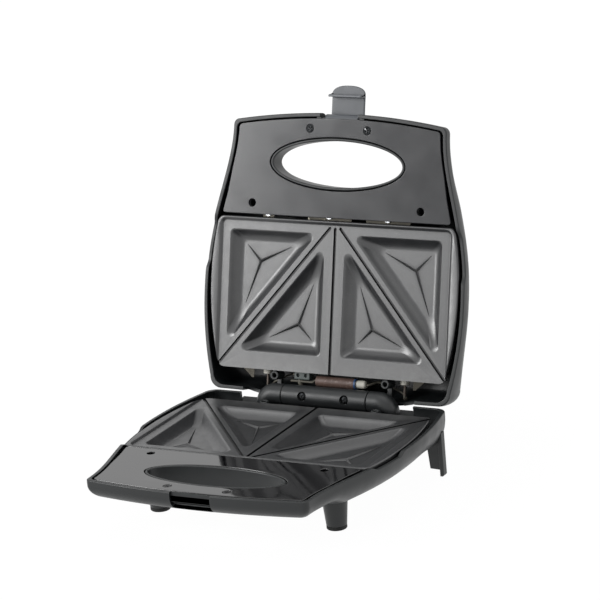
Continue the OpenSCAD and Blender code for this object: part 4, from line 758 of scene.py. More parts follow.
def sleeve(half):
    """Tube round the grip opening, with a rolled lip and a flared outer end."""
    rings = []
    lip = 0.9
    top = -rim_gap / 2

    def ring(grow, z):
        rings.append([(x, f, z) for x, f in oval(grow)])

    def low_ring(grow, rise):
        rings.append([(x, f, -outside_depth(x, f, half) + rise) for x, f in oval(grow)])

    for a in quarter(5):
        low_ring(sleeve_flare * (1 - math.sin(a)), sleeve_flare * (1 - math.cos(a)))
    for i in range(1, 5):
        ring(0, mix(-outside_depth(0, oval_f, half) + 3, top - 3, i / 5))
    for a in quarter(5):
        ring(lip * (1 - math.cos(a)), top - lip * (1 - math.sin(a)))
    for a in quarter(5):
        ring(sleeve_wall - lip * (1 - math.sin(a)), top - lip * (1 - math.cos(a)))
    ring(sleeve_wall, top - 4)
    low_ring(sleeve_wall, wall)
    low_ring(sleeve_flare + 0.3, wall * 0.6)
    return loft(rings, around=True)


panel_seat_z = -rim_gap / 2 - panel_t
deck_z = -barrel_r - deck_gap
deck_front_f = plate_rear_f - 0.5
deck_t = 2.2
notch_half_w = latch_half_w + notch_gap
hinge_box_rear_f, hinge_box_half_w, hinge_box_bottom_z = -13.0, rear_gap_half_w + 6, -BASE.depth + 2
box_floor_z, box_roof_z = hinge_box_bottom_z + deck_t, deck_z - deck_t
ring_boss_x, ring_boss_f, ring_boss_r, ring_boss_z = 50.0, deck_front_f - 3.7, 3.6, -2.0
cover_half_w, cover_rear_f, cover_front_f, cover_t = hinge_box_half_w - 4, hinge_box_rear_f + 1.6, 3.8, 1.6
gland_r = inlet_bore_r + 1.5
inlet_z = box_roof_z - gland_r - 0.3
catch_f, catch_rear_f = front_f - 2.4, latch_pivot_f - 2
catch_z = latch_pivot_z - hook_reach + 0.9
deep_boss_r, deep_bore_r, deep_sink, skin_clear = 5.5, 3.2, 6.0, 1.2
tab_post_xs, tab_post_r, tab_post_z = (-64, -8.3, 44.1), 3.2, -8.65
element_x = 62.0


def tube(outer_r, inner_r, z0, z1, edge=0.4, n=40):
    profile = [(inner_r, z0), (inner_r, z1 - edge), (inner_r + edge, z1), (outer_r - edge, z1),
               (outer_r, z1 - edge), (outer_r, z0)]
    return lathe(profile, n, around=True)


def panel_bosses(half):
    """Screw bosses under a handle panel. The deep ones stop short of the sloping skin."""
    x, f = deep_screw
    front_floor = section_depth(panel_screw[1], half) - wall / 2
    skin = min(outside_depth(x + deep_boss_r, f + k, half) for k in (-deep_boss_r, 0, deep_boss_r))
    low_z = panel_seat_z - deep_sink
    return both(joined(
        moved(tube(4.0, 1.6, -front_floor, panel_seat_z, 0.3), *panel_screw),
        moved(tube(deep_boss_r, deep_bore_r, low_z, panel_seat_z, 0.3), x, f),
        rod(deep_boss_r, skin_clear - skin, low_z, 40, x, f)))


def ring_bosses(foot_z):
    return both(moved(tube(ring_boss_r, 1.8, foot_z, ring_boss_z, 0.5), ring_boss_x, ring_boss_f))


def tab_posts(half):
    post_f = panel_rear_f + 1.5
    return joined(*[rod(tab_post_r, -outside_depth(x, post_f, half) + 1, tab_post_z, 32, x, post_f)
                    for x in tab_post_xs])


def hinge_box_space(front):
    return raw_strip(hinge_box_half_w - deck_t, hinge_box_rear_f + deck_t, front, box_floor_z, box_roof_z)


def notch_liner(half_w, rear_f, liner_f, low_z, tool):
    """Walls and rear wall round the latch's notch."""
    top_z = panel_seat_z - 0.2
    walls = combined(raw_strip(half_w, rear_f - 2, liner_f, low_z, top_z), [tool])
    back = raw_strip(half_w, rear_f - 2, rear_f, -handle_depth + 1.5, top_z)
    return softened(walls, 0.4), back


def base_shell():
    notch_z, under_z = -handle_depth - 5, hinge_box_bottom_z - 3
    catch_tool = raw_strip(notch_half_w, catch_rear_f, front_f + 5, notch_z, catch_z)
    cover_tool = raw_strip(cover_half_w, cover_rear_f, cover_front_f, under_z, hinge_box_bottom_z + cover_t)
    body = combined(shell(BASE), [
        raw_strip(rear_gap_half_w, -5, deck_front_f - 0.1, deck_z, 5),
        hinge_box_space(deck_front_f - 0.2),
        oval_prism(sleeve_flare),
        raw_strip(notch_half_w, catch_f, front_f + 5, notch_z, 5),
        catch_tool,
        cover_tool,
    ])
    lead_space_w = 5.5
    deck = combined(raw_strip(hinge_box_half_w, hinge_box_rear_f, deck_front_f, hinge_box_bottom_z, deck_z), [
        hinge_box_space(deck_front_f + 1),
        *[raw_box(x - lead_space_w, x + lead_space_w, 8.5, deck_front_f + 1, box_floor_z, deck_z + 1)
          for x in (element_x, -element_x)],
        cover_tool,
        raw_strip(cover_half_w - 2, cover_rear_f + 2, cover_front_f - 2, hinge_box_bottom_z - 1,
                  box_floor_z + 1),
        mapped(rod(gland_r, -20, 0), lambda p: (p[0] + inlet_x, p[2], p[1] + inlet_z)),
    ])
    liner, back = notch_liner(notch_half_w + 2, catch_rear_f, catch_f, -handle_depth + 5, catch_tool)
    return joined(body, softened(deck, 0.5), liner, back, sleeve(BASE), panel_bosses(BASE),
                  tab_posts(BASE), ring_bosses(deck_z - deck_t / 2))


saddle_half_w = barrel_screw_x + 6
lamp_x, lamp_f, lens_r, lamp_strut_z = 14.0, 120.0, 5.0, 13.0


def lid_shell():
    barrel_space_r = barrel_r + 0.8
    notch_rear_f = latch_pivot_f - 6
    notch_tool = raw_strip(notch_half_w, notch_rear_f, front_f + 5, -handle_depth - 5, 5)
    body = combined(shell(LID), [
        along_x(rod(barrel_space_r, -rear_gap_half_w + 0.5, rear_gap_half_w - 0.5, 64)),
        *[raw_box(x - barrel_space_r, x + barrel_space_r, -9, -0.5, -12, 2) for x in (elbow_x, -elbow_x)],
        oval_prism(sleeve_flare),
        notch_tool,
    ])
    body = combined(body, [rod(lens_r + 0.05, -LID.depth - 5, -LID.depth + 3, 40, x, lamp_f)
                           for x in (-lamp_x, lamp_x)])
    liner, back = notch_liner(notch_half_w + 4, notch_rear_f, front_f - 2.6, -handle_depth + 5.5, notch_tool)
    saddle = combined(raw_strip(saddle_half_w, -6.2, 7.4, -barrel_r - 4, -barrel_r + 3), [
        along_x(rod(barrel_r + 0.05, -saddle_half_w - 1, saddle_half_w + 1, 64))])
    struts = both(block(ring_boss_x - 2, ring_boss_x + 2, -3.5, ring_boss_f,
                        -lamp_strut_z - 2, -lamp_strut_z + 1.5))
    post = rod(3.2, -LID.depth - 1, -lamp_strut_z - 10, 32, 0, lamp_f)
    return joined(body, liner, back, softened(saddle, 0.5), struts, post, sleeve(LID),
                  panel_bosses(LID), tab_posts(LID), ring_bosses(-lamp_strut_z - 1))


piece("base_housing", base_shell(), "base", housing.material, ["base_shell"])
piece("lid_housing", lid_shell(), "lid", housing.material, ["lid_shell"])


# ---- Handle panels ----
def panel_outline(front_n=30, side_n=60, corner_r=3.2):
    half_w = handle_half_w - panel_side_margin
    points = [(half_w * i / front_n, front_edge(half_w * i / front_n) - panel_front_margin)
              for i in range(front_n + 1)]
    top_f = points[-1][1]
    for i in range(1, side_n + 1):
        f = mix(top_f, panel_rear_f, i / side_n)
        points.append((side_x(min(f, front_corner_f)) - panel_side_margin - 1.6 * (1 - handle_share(f)), f))
    return fillet(points + [(-x, f) for x, f in points[::-1] if x > 0.01], corner_r)


def is_corner(loop, i, angle):
    u = Vector(loop[i]) - Vector(loop[i - 1])
    v = Vector(loop[(i + 1) % len(loop)]) - Vector(loop[i])
    return u.length > 1e-6 and v.length > 1e-6 and u.angle(v) > math.radians(angle)


def walked(loop, i, step, left):
    """The point reached along a loop from its point i, forwards or backwards."""
    p = Vector(loop[i])
    while True:
        i += step
        q = Vector(loop[i % len(loop)])
        d = (q - p).length
        if d >= left:
            return p + (q - p) * (left / d)
        left -= d
        p = q


def fillet(loop, r, steps=5, angle=40):
    """Rounds the sharp corners of a plan loop."""
    corners = [i for i in range(len(loop)) if is_corner(loop, i, angle)]
    out = []
    for i, point in enumerate(loop):
        b = Vector(point)
        if i in corners:
            while out and (Vector(out[-1]) - b).length < r:
                out.pop()
            out += bend(walked(loop, i, -1, r), b, walked(loop, i, 1, r), steps)
        elif all((Vector(loop[c]) - b).length >= r for c in corners):
            out.append(point)
    return out


def handle_panel():
    holes = [oval(sleeve_wall + sleeve_gap)]
    for s in (-1, 1):
        holes.append(circle(3.38, 40, s * panel_screw[0], panel_screw[1]))
        holes.append(circle(deep_bore_r, 40, s * deep_screw[0], deep_screw[1]))
    return slab(panel_outline(), holes, panel_seat_z, panel_seat_z + panel_t, 0.45)


def cross_screw(length, head_r, head_h, shank_r, countersunk=False):
    """Cross-head screw whose head sits on z = 0 and whose shank runs down."""
    if countersunk:
        head = [(0.0, -length), (shank_r, -length + 1), (shank_r, -0.2), (head_r * 0.96, head_h - 0.3),
                (head_r, head_h - 0.1), (head_r * 0.9, head_h), (0.0, head_h)]
    else:
        head = [(0.0, -length), (shank_r, -length + 1), (shank_r, 0), (head_r, 0), (head_r, head_h * 0.45),
                (head_r * 0.82, head_h * 0.86), (head_r * 0.45, head_h), (0.0, head_h)]
    body = lathe(rounded(head, 0.25, 3), 36)
    arm, slot_w, deep = head_r * 0.62, head_r * 0.2, min(1.3, head_h * 0.85)
    tools = []
    for turn in (0, 1):
        ring = [(-arm, -slot_w / 2), (arm, -slot_w / 2), (arm, slot_w / 2), (-arm, slot_w / 2)]
        if turn:
            ring = [(-f, x) for x, f in ring]
        low = [(x * 0.45, f * 0.6, head_h - deep) for x, f in ring]
        high = [(x * 1.05, f * 1.1, head_h + 0.3) for x, f in ring]
        tools.append(loft([low, high]))
    return combined(body, tools)


def turned(form, degrees):
    c, s = math.cos(math.radians(degrees)), math.sin(math.radians(degrees))
    return mapped(form, lambda p: (p[0] * c - p[1] * s, p[0] * s + p[1] * c, p[2]))


panel_screw_form = cross_screw(8, 3.3, 1.7, 1.5, countersunk=True)
deep_screw_form = cross_screw(8, 2.9, 1.7, 1.5)


def panel_screws():
    """Two flush screws and two deep ones, each turned its own way."""
    flush_z = panel_seat_z + panel_t - 1.7 - 0.25
    screws = []
    for form, (x, f), z, turns in ((panel_screw_form, panel_screw, flush_z, (12, 38)),
                                   (deep_screw_form, deep_screw, panel_seat_z - deep_sink, (20, 65))):
        screws += [moved(turned(form, turn), side * x, f, z) for side, turn in zip((1, -1), turns)]
    return joined(*screws)


for side, finish in (("base", base_gloss), ("lid", lid_gloss)):
    piece(side + "_panel", handle_panel(), side, finish.material, [side + "_handle_panel"])
    piece(side + "_screws", panel_screws(), side, screw_black.material,
          [side + "_panel_screws"])


# ---- Cooking plates ----
wing_z = -plate_gap / 2
plate_face_z = wing_z - face_step
plate_under_z = wing_z - plate_t
wing_half_w = body_half_w - rim_w - wing_gap


def plate_side(f):
    front_x = side_x(plate_front_f) - rim_w - 1.2
    rear_x = side_x(plate_rear_f) - rim_w - wing_gap - 3.5
    t = (f - plate_rear_f) / (plate_front_f - plate_rear_f)
    return mix(rear_x, front_x, t) + (wing_half_w - mix(rear_x, front_x, 0.55)) * (1 - (2 * t - 1) ** 2)


def plate_outline(steps=40):
    half = [(0.0, plate_front_f), (plate_side(plate_front_f) - 0.5, plate_front_f)]
    for i in range(1, steps + 1):
        f = mix(plate_front_f, plate_rear_f, i / steps)
        half.append((plate_side(f), f))
    half.append((0.0, plate_rear_f))
    loop = half + [(-x, f) for x, f in half[::-1] if x > 0.01]
    return fillet(loop, 5.0, 7)


groove_top = Vector((2.2, plate_front_f - 3))
groove_end = Vector((face_half_w - 2, plate_rear_f + 3.2))
groove_dir = (groove_end - groove_top).normalized()
groove_normal = Vector((-groove_dir.y, groove_dir.x))


def diagonal_at_f(f, offset):
    p = groove_top + groove_normal * offset
    return p.x + (f - p.y) * groove_dir.x / groove_dir.y


def diagonal_at_x(x, offset):
    p = groove_top + groove_normal * offset
    return p.y + (x - p.x) * groove_dir.y / groove_dir.x


def pocket(x, f, land):
    """Triangle from its square corner, cut off at a land beside the diagonal groove."""
    return [Vector((x, f)), Vector((diagonal_at_f(f, land), f)), Vector((x, diagonal_at_x(x, land)))]


outer_pocket = pocket(face_half_w - side_land, plate_front_f - front_land, diagonal_land)
inner_pocket = pocket(centre_land, plate_rear_f + rear_land, -diagonal_land)


def sides_of(t):
    return (t[1] - t[2]).length, (t[2] - t[0]).length, (t[0] - t[1]).length


def incentre(t):
    a, b, c = sides_of(t)
    return (t[0] * a + t[1] * b + t[2] * c) / (a + b + c)


def inradius(t):
    a, b, c = sides_of(t)
    s = (a + b + c) / 2
    return math.sqrt((s - a) * (s - b) * (s - c) / s)


def rounded_triangle(t, inset, r, steps=10):
    centre, k = incentre(t), 1 - (inset + r) / inradius(t)

    def normal_angle(i):
        p, q = t[i % 3], t[(i + 1) % 3]
        d = q - p
        n = Vector((d.y, -d.x))
        n = n if n.dot((p + q) / 2 - centre) > 0 else -n
        return math.degrees(math.atan2(n.y, n.x))

    points = []
    for i in range(3):
        corner = centre + (t[i] - centre) * k
        a, b = normal_angle(i + 2), normal_angle(i)
        turn = ((b - a) % 360 + 540) % 360 - 180
        for s in range(steps + 1):
            angle = math.radians(a + turn * s / steps)
            points.append((corner.x + r * math.cos(angle), corner.y + r * math.sin(angle)))
    return points


POCKET_LIP_OUT = 0.9
POCKET_INSETS = [-POCKET_LIP_OUT, -0.6, -0.35, -0.1, 0.15, 0.45, 0.8, 1.3, 2.0, 2.9, 3.9, 5.0, 6.2, 7.4,
                 8.4, 9.2]


def pocket_drop(d, slope_w=9.0, lip=0.8):
    """Depth of the pocket's wall at a distance d inside its edge, with a rolled lip."""
    soft = 0.5 * (d + math.sqrt(d * d + lip * lip))
    soft = max(0.0, soft - 0.5 * (math.sqrt(POCKET_LIP_OUT ** 2 + lip * lip) - POCKET_LIP_OUT))
    return pocket_depth * (1 - max(0.0, 1 - soft / slope_w) ** 2.2)


RIB_PROFILE = [(-1, -0.6), (-1, 0), (-0.55, 0.26), (-0.22, 0.72), (0, 1), (0.22, 0.72), (0.55, 0.26),
               (1, 0), (1, -0.6)]


def rib(start, end, share=0.52, half_w=1.35, height=1.45, steps=12):
    """Tapered ridge from a pocket's centre towards a corner."""
    run = end - start
    side = Vector((-run.y, run.x)).normalized()
    floor = plate_face_z - pocket_depth
    rings = []
    for i in range(steps + 1):
        t = i / steps
        k = 1 - t
        p = start + run * share * t
        w, h = half_w * k + 0.05, mix(0.15, height, k ** 0.8)
        rings.append([(p.x + side.x * u * w, p.y + side.y * u * w, floor + v * h) for u, v in RIB_PROFILE])
    return loft(rings)


def groove_tool(a, b):
    """Round-ended channel between two plan points."""
    a, b = Vector(a), Vector(b)
    d = (b - a).normalized()
    base = math.atan2(d.y, d.x)
    r = groove_w / 2
    loop = []
    for centre, start in ((b, base - math.pi / 2), (a, base + math.pi / 2)):
        for i in range(9):
            angle = start + math.pi * i / 8
            loop.append((centre.x + r * math.cos(angle), centre.y + r * math.sin(angle)))
    return loft([[(x, f, z) for x, f in loop] for z in (plate_face_z - groove_depth, 3.0)])


# Inset from the edge of the recess and rise over the flat face
FACE_SLOPE = [(2.7, 0.0), (2.3, 0.08), (1.9, 0.36), (1.3, 0.9), (0.7, 1.44), (0.3, 1.7),
              (-0.1, face_step), (-0.1, 4.0)]
FACE_CORNER_R = 6
# Inset from a pocket's edge and height of the plate's underside below it
UNDER_POCKET = [(-1.8, plate_under_z), (0.9, -6.2), (3.8, -9.7), (8.1, -11.3)]


def face_recess():
    """Hollow of the flat face, whose side and front edges slope up to the wings."""
    rings = []
    for inset, rise in FACE_SLOPE:
        half_w, front = face_half_w + 1.25 - inset, plate_front_f - 1.2 - inset
        r = FACE_CORNER_R - inset
        half = [(half_w, plate_rear_f - 1)]
        half += [(half_w - r + r * math.cos(a), front - r + r * math.sin(a)) for a in quarter(12)]
        rings.append([(x, f, plate_face_z + rise) for x, f in half + [(-x, f) for x, f in half[::-1]]])
    return loft(rings)


def cooking_plate():
    edge = 1.3
    points, faces = [], []

    def stack(loops):
        """Adds a wall of loops and returns where its first point is."""
        start = len(points)
        faces.extend(bands(loops, start))
        points.extend(p for loop in loops for p in loop)
        return start

    def hollow(t, steps, r):
        """Adds a closed triangular hollow and returns its open loop and first point."""
        loops = [[(x, f, z) for x, f in wound(rounded_triangle(t, s, r), False)] for s, z in steps]
        start = stack(loops)
        faces.append(tuple(range(len(points) - len(loops[0]), len(points))))
        return loops[0], start

    outline = wound(plate_outline())
    heights = [(0.0, plate_under_z)]
    heights += [(edge * (1 - math.cos(a)), wing_z - edge * (1 - math.sin(a))) for a in quarter(6)]
    rings = [[(p[0], p[1], z) for p in offset_loop(outline, inset)] for inset, z in heights]
    start = stack(rings)
    tops, lows = [(rings[-1], start + (len(rings) - 1) * len(outline))], [(rings[0], start)]
    lip_z = plate_face_z - 0.02
    steps = [(POCKET_INSETS[0], wing_z), (POCKET_INSETS[0], lip_z)]
    steps += [(s, lip_z - pocket_drop(s)) for s in POCKET_INSETS[1:]]
    for half in (outer_pocket, inner_pocket):
        for t in (half, [Vector((-p.x, p.y)) for p in half]):
            tops.append(hollow(t, steps, pocket_r))
            lows.append(hollow(t, UNDER_POCKET, pocket_r + 1.8))
    faces += cap(*zip(*tops), up=True) + cap(*zip(*lows), up=False)
    start = groove_top + groove_dir * 4
    tools = [face_recess(),
             groove_tool((0, plate_rear_f - 2), (0, plate_front_f - 6.5)),
             groove_tool(start, groove_end),
             groove_tool((-start.x, start.y), (-groove_end.x, groove_end.y))]
    plate = combined((points, faces), tools)
    ribs = [both(rib(incentre(t), corner)) for t in (outer_pocket, inner_pocket) for corner in t]
    bosses = [both(rod(3.6, -17.75, plate_under_z + 0.1, 32, *p))
              for p in ((element_x, plate_front_f - front_land / 2), (30.0, plate_rear_f + rear_land / 2))]
    return joined(plate, *ribs, *bosses)


for side, node in (("base", "lower_plate"), ("lid", "upper_plate")):
    piece(node + "_coated", cooking_plate(), side, nonstick.material, [node], sharp=50)


# ---- Hinge ----
screw_seat_z, lead_hole_x = barrel_r - 3, -28.0


def hinge_barrel():
    profile = rounded([(barrel_bore_r, -barrel_half_l), (barrel_r, -barrel_half_l), (barrel_r, barrel_half_l),
                       (barrel_bore_r, barrel_half_l), (barrel_bore_r, 0)], 0.7)
    body = along_x(lathe(profile[:-1], 72, around=True))
    tools = [rod(3.9, screw_seat_z, barrel_r + 2, 48, x) for x in (-barrel_screw_x, barrel_screw_x)]
    return combined(body, tools + [rod(2.6, -barrel_r - 1, -1, 32, lead_hole_x)])


def hinge_elbow():
    start = barrel_half_l + hinge_end_gap
    turn_r, edge = barrel_r + 0.4, 0.6
    turn_x = elbow_x - turn_r
    path = [(start, 0.0, 0.0), (start + edge, 0.0, 0.0), (turn_x - 0.2, 0.0, 0.0)]
    path += [(turn_x + turn_r * math.sin(a), 0.0, turn_r * math.cos(a) - turn_r) for a in quarter(16)]
    path.append((elbow_x, 0.0, deck_z - 0.3))
    radii = [barrel_r - edge] + [barrel_r] * (len(path) - 1)
    body = sweep(path, radii, 56)
    neck = along_x(rod(barrel_bore_r - 0.07, start - 8.4, start + 1, 40))
    seat = rounded([(barrel_r - 0.5, deck_z + 0.9), (barrel_r + 0.05, deck_z + 0.6),
                    (barrel_r + 0.05, deck_z)], 0.3)
    return joined(body, neck, moved(lathe(seat, 56), elbow_x))


piece("barrel", hinge_barrel(), "lid", hinge_black.material, ["hinge_barrel"])
barrel_screw_form = cross_screw(17, 3.4, 1.6, 1.6)
piece("barrel_cross_screws", joined(*[moved(turned(barrel_screw_form, turn), x, 0, screw_seat_z)
                                      for x, turn in ((barrel_screw_x, 15), (-barrel_screw_x, 50))]),
      "lid", screw_black.material, ["barrel_screws"])
for hand, form in (("right", hinge_elbow()), ("left", mirrored(hinge_elbow()))):
    piece(hand + "_elbow", form, "base", hinge_black.material, [hand + "_hinge_elbow"])


# ---- Feet and legs ----
def front_foot():
    top, low = -BASE.depth - 0.05, -parting_z + foot_tip_h
    profile = [(0.0, low), (foot_tip_r, low), (foot_top_r, top), (0.0, top)]
    peg = rod(3.0, top - 0.1, top + 5, 32)
    return moved(joined(lathe(rounded(profile, 0.5), 56), peg), foot_x, foot_f)


def foot_tip():
    low = -parting_z
    top = low + foot_tip_h - 0.05
    profile = [(0.0, low), (foot_tip_r - 0.6, low), (foot_tip_r, low + 0.6), (foot_tip_r, top), (0.0, top)]
    return moved(lathe(rounded(profile, 0.3), 56), foot_x, foot_f)


for hand, form in (("right", front_foot()), ("left", mirrored(front_foot()))):
    piece(hand + "_foot", form, "base", housing.material, ["front_" + hand + "_foot"])
piece("rubber_tips", both(foot_tip()), "base", rubber.material, ["front_foot_tips"])

leg_outer_x = side_x((leg_front_f + leg_rear_f) / 2) - 0.5
leg_top_z = -side_band - 10


def rear_leg():
    x1 = leg_outer_x
    x0 = x1 - leg_t
    low = -parting_z
    side_wall = slab([(x0, low), (x1 - 1.2, low), (x1, low + 1.2), (x1, leg_top_z), (x0, leg_top_z)], [],
                     leg_rear_f, leg_front_f, 0.5)
    web = slab([(x0 + 1, low + leg_plate_clear), (x0 - leg_plate_w + 3, low + leg_plate_clear + 0.5),
                (x0 - leg_plate_w, leg_top_z), (x0 + 1, leg_top_z)], [], leg_rear_f, leg_rear_f + 2.4, 0.5)
    return along_f(joined(side_wall, web))


for hand, form in (("right", rear_leg()), ("left", mirrored(rear_leg()))):
    piece(hand + "_leg", form, "base", housing.material, ["rear_" + hand + "_leg"])


# ---- Underside, inlet ----
cover_screw_xs, cover_screw_f, cover_gap = (-74, 0, 74), -4.0, 0.2


def box_cover():
    holes = [circle(1.75, 24, x, cover_screw_f) for x in cover_screw_xs]
    half_w = cover_half_w - cover_gap
    return slab(rect(-half_w, half_w, cover_rear_f + cover_gap, cover_front_f - cover_gap, 1.0), holes,
                hinge_box_bottom_z, hinge_box_bottom_z + cover_t - 0.05, 0.4)


piece("cover", box_cover(), "base", housing.material, ["box_cover"])
cover_screw_form = upside_down(cross_screw(7, 2.8, 1.4, 1.5))
piece("cover_cross_screws",
      joined(*[moved(turned(cover_screw_form, 25 * k), x, cover_screw_f, hinge_box_bottom_z)
               for k, x in enumerate(cover_screw_xs)]),
      "base", zinc.material, ["box_cover_screws"])


def inlet_gland():
    r, neck_r, inner_z = inlet_bore_r, gland_r - 0.05, -9.2
    profile = [(r, inner_z), (r, -0.8), (r + 0.8, 0), (r + 2.0, 0), (r + 2.5, -0.7), (r + 2.5, -2.0),
               (neck_r, -2.0), (neck_r, inner_z)]
    form = lathe(profile, 48, around=True)
    return mapped(form, lambda p: (p[0] + inlet_x, hinge_box_rear_f - 2 - p[2], p[1] + inlet_z))


piece("gland", inlet_gland(), "base", rubber.material, ["inlet_gland"])


# ---- Fuse, connector and leads behind the upper plate ----
fuse_f, fuse_z, fuse_r, fuse_bore_r = 12.0, -10.0, 4.4, 0.9
fuse_left, fuse_right, fuse_end = -14.6, 20.4, 30.0


def fuse_place(form):
    return moved(along_x(form), 0, fuse_f, fuse_z)


fuse_body = rounded([(fuse_bore_r, fuse_left), (fuse_r - 0.3, fuse_left), (fuse_r, fuse_left + 1.5),
                     (fuse_r, fuse_right - 2), (fuse_r - 0.2, fuse_right), (3.3, fuse_right),
                     (3.3, fuse_right - 6), (fuse_bore_r, fuse_right - 8)], 0.4)
piece("fuse_braid", fuse_place(lathe(fuse_body, 40, around=True)), "lid", fuse_brown.material,
      ["fuse_sleeve"])
piece("fuse_band", fuse_place(tube(fuse_r - 0.05, 3.3, fuse_right - 0.6, fuse_right + 1.2, 0.3)), "lid",
      fuse_blue.material)
fuse_tip = rounded([(0.0, fuse_right - 7), (3.2, fuse_right - 7), (3.2, fuse_end - 1.2), (2.4, fuse_end),
                    (0.0, fuse_end)], 0.5)
piece("fuse_end", fuse_place(lathe(fuse_tip, 36)), "lid", ceramic.material, ["fuse_insulator"])
port_f = 15.7
connector = block(-34, -20, 12.2, 19.2, -13.5, -6.5, 0.6)
connector = combined(connector, [rod(1.6, -8.5, -5, 24, x, port_f) for x in (-30.5, -23.5)])
piece("connector", connector, "lid", grey_plastic.material, ["lead_connector"])

core_r, cable_r = 0.88, 1.75
element_z, block_z, low_z, under_z = -14.55, -16.7, -18.0, -22.0
LEFT_END = [(-element_x, 3, low_z), (-element_x, 3, element_z), (-element_x, 5.95, element_z)]
RIGHT_END = [(element_x, f, z) for _, f, z in LEFT_END]
lid_runs = [
    ([(-46.3, 0, 0), (lead_hole_x, 0, 0), (lead_hole_x, 0, -9.5), (lead_hole_x, 3, -12.5),
      (-30, 9.2, fuse_z), (-30, 12.15, fuse_z)], cable_r),
    ([(-34.05, port_f, fuse_z), (-36, port_f, fuse_z), (-41, port_f, low_z), (-57, 8, low_z)] + LEFT_END,
     core_r),
    ([(30.05, fuse_f, fuse_z), (32, fuse_f, fuse_z), (39, 14, low_z), (57, 8, low_z)] + RIGHT_END, core_r),
    ([(-38, 10.6, -9), (-30, 10.7, -9), (-19, 10.6, -9), (-16.6, fuse_f, fuse_z), (-12.6, fuse_f, fuse_z)],
     core_r),
    ([(-23, port_f, -13.55), (-23, port_f, -15.6), (-20, port_f, under_z), (-6, 60, under_z),
      (-14, 110, under_z), (-14, lamp_f, under_z), (-14, lamp_f, -25.3)], core_r),
]


def block_exit(x):
    """Straight start of a lead that leaves the terminal block."""
    return [(x, 6.05, block_z), (x, 8.05, block_z)]


def thermostat_run(x):
    """Way of a lead under the plate and up to the thermostat."""
    return [(x, 13, element_z), (x, 30, element_z), (x, 45, -9), (x, 119, -9)]


base_runs = [
    (block_exit(-35) + [(-44, 12, low_z)] + LEFT_END, core_r),
    (block_exit(-15) + [(0, 13, -19), (56, 12, -19)] + RIGHT_END, core_r),
    (block_exit(-28) + thermostat_run(-4), core_r),
    (block_exit(-22) + thermostat_run(4), core_r),
    ([(-40.05, -2, block_z), (-44, -2, block_z), (-54.6, -0.5, -15.5), (-55.6, 0, -8), (-54, 0, -1.6),
      (-47.9, 0, 0)], cable_r),
]
for side, runs in (("lid", lid_runs), ("base", base_runs)):
    piece(side + "_wires", joined(*[sweep(spline(path, 6), r, 12) for path, r in runs]), side,
          lead_sheath.material, [side + "_leads"])


# ---- Indicator lamps ----
lamp_skin_z = -LID.depth - LID.crown * max(0.0, 1 - (lamp_x / (side_x(lamp_f) - LID.draw_in)) ** 2)


def lamp_lens():
    r, bore_r, flange_r, end_z = lens_r, lens_r - 1.5, lens_r + 1.2, 6.2
    profile = [(bore_r, end_z), (bore_r, 0.8), (0.0, 0.6), (0.0, -1.8), (2.0, -1.75), (r - 0.9, -1.55),
               (r - 0.1, -0.9), (r, 0.0), (r, wall + 0.4), (flange_r, wall + 0.4),
               (flange_r, wall + 1.8), (r, wall + 1.8), (r, end_z)]
    return lathe(profile, 48, around=True)


for x, finish, slot, node in ((-lamp_x, red_lens, "red_lens", "power_lamp_lens"),
                              (lamp_x, green_lens, "green_lens", "ready_lamp_lens")):
    piece(slot + "_dome", moved(lamp_lens(), x, lamp_f, lamp_skin_z), "lid", finish.material, [node])


# ---- Latch ----
plate_inner = handle_depth - 0.5 - latch_pivot_z


def latch_clip():
    """Lofted across its width. u runs from the pivot to the thumb tip, v out of the lid."""
    hook_t, knuckle, rear_u, edge = 2.2, 4.0, -3.0, 0.7
    tip_z = plate_inner - hook_depth
    hook_u = hook_reach + hook_t
    hook = [(hook_u + 0.1, plate_inner), (hook_u, plate_inner - 0.4), (hook_u, tip_z + 1.6),
            (hook_u - 0.3, tip_z + 0.5), (hook_u - 0.8, tip_z), (hook_reach + 0.3, tip_z),
            (hook_reach, tip_z + 0.3), (hook_reach, plate_inner - 0.5), (hook_reach - 0.5, plate_inner),
            (3.0, plate_inner), (3.0, 0.0)]
    rings = []
    for k in range(-14, 15):
        s = math.sin(math.pi / 2 * k / 14)
        x = s * latch_half_w
        near = max(0.0, abs(x) - (latch_half_w - edge)) / edge
        shrink = edge * (1 - math.sqrt(max(0.0, 1 - near * near)))
        dome = math.sqrt(max(0.0, 1 - (abs(s) * 0.985) ** 2.4))
        tip = hook_u + 0.6 + (latch_tip_reach - hook_u - 0.6) * dome
        loop = [(rear_u, 0.0)]
        for i in range(19):
            t = i / 18
            u = mix(rear_u, tip, t)
            waist = 0.7 * math.sin(math.pi * min(1, (u - rear_u) / (latch_tip_reach - rear_u)))
            drop = 1.2 * smooth((t - 0.88) / 0.12)
            loop.append((u, plate_inner + latch_t - waist - drop))
        loop = wound(loop + [(tip, plate_inner + 0.75), (tip - 0.6, plate_inner)] + hook)
        loop = offset_loop(loop, shrink) if shrink > 0 else loop
        rings.append([(x, latch_pivot_f + u, -latch_pivot_z - v) for u, v in loop])
    bore_r, half_w = 1.6, latch_half_w
    profile = rounded([(bore_r, -half_w), (knuckle, -half_w), (knuckle, half_w), (bore_r, half_w),
                       (bore_r, 0)], 0.5)[:-1]
    barrel = moved(along_x(lathe(profile, 48, around=True)), 0, latch_pivot_f, -latch_pivot_z)
    return joined(loft(rings), barrel)


piece("latch", latch_clip(), "latch", latch_grey.material, ["latch_clip"], sharp=40)


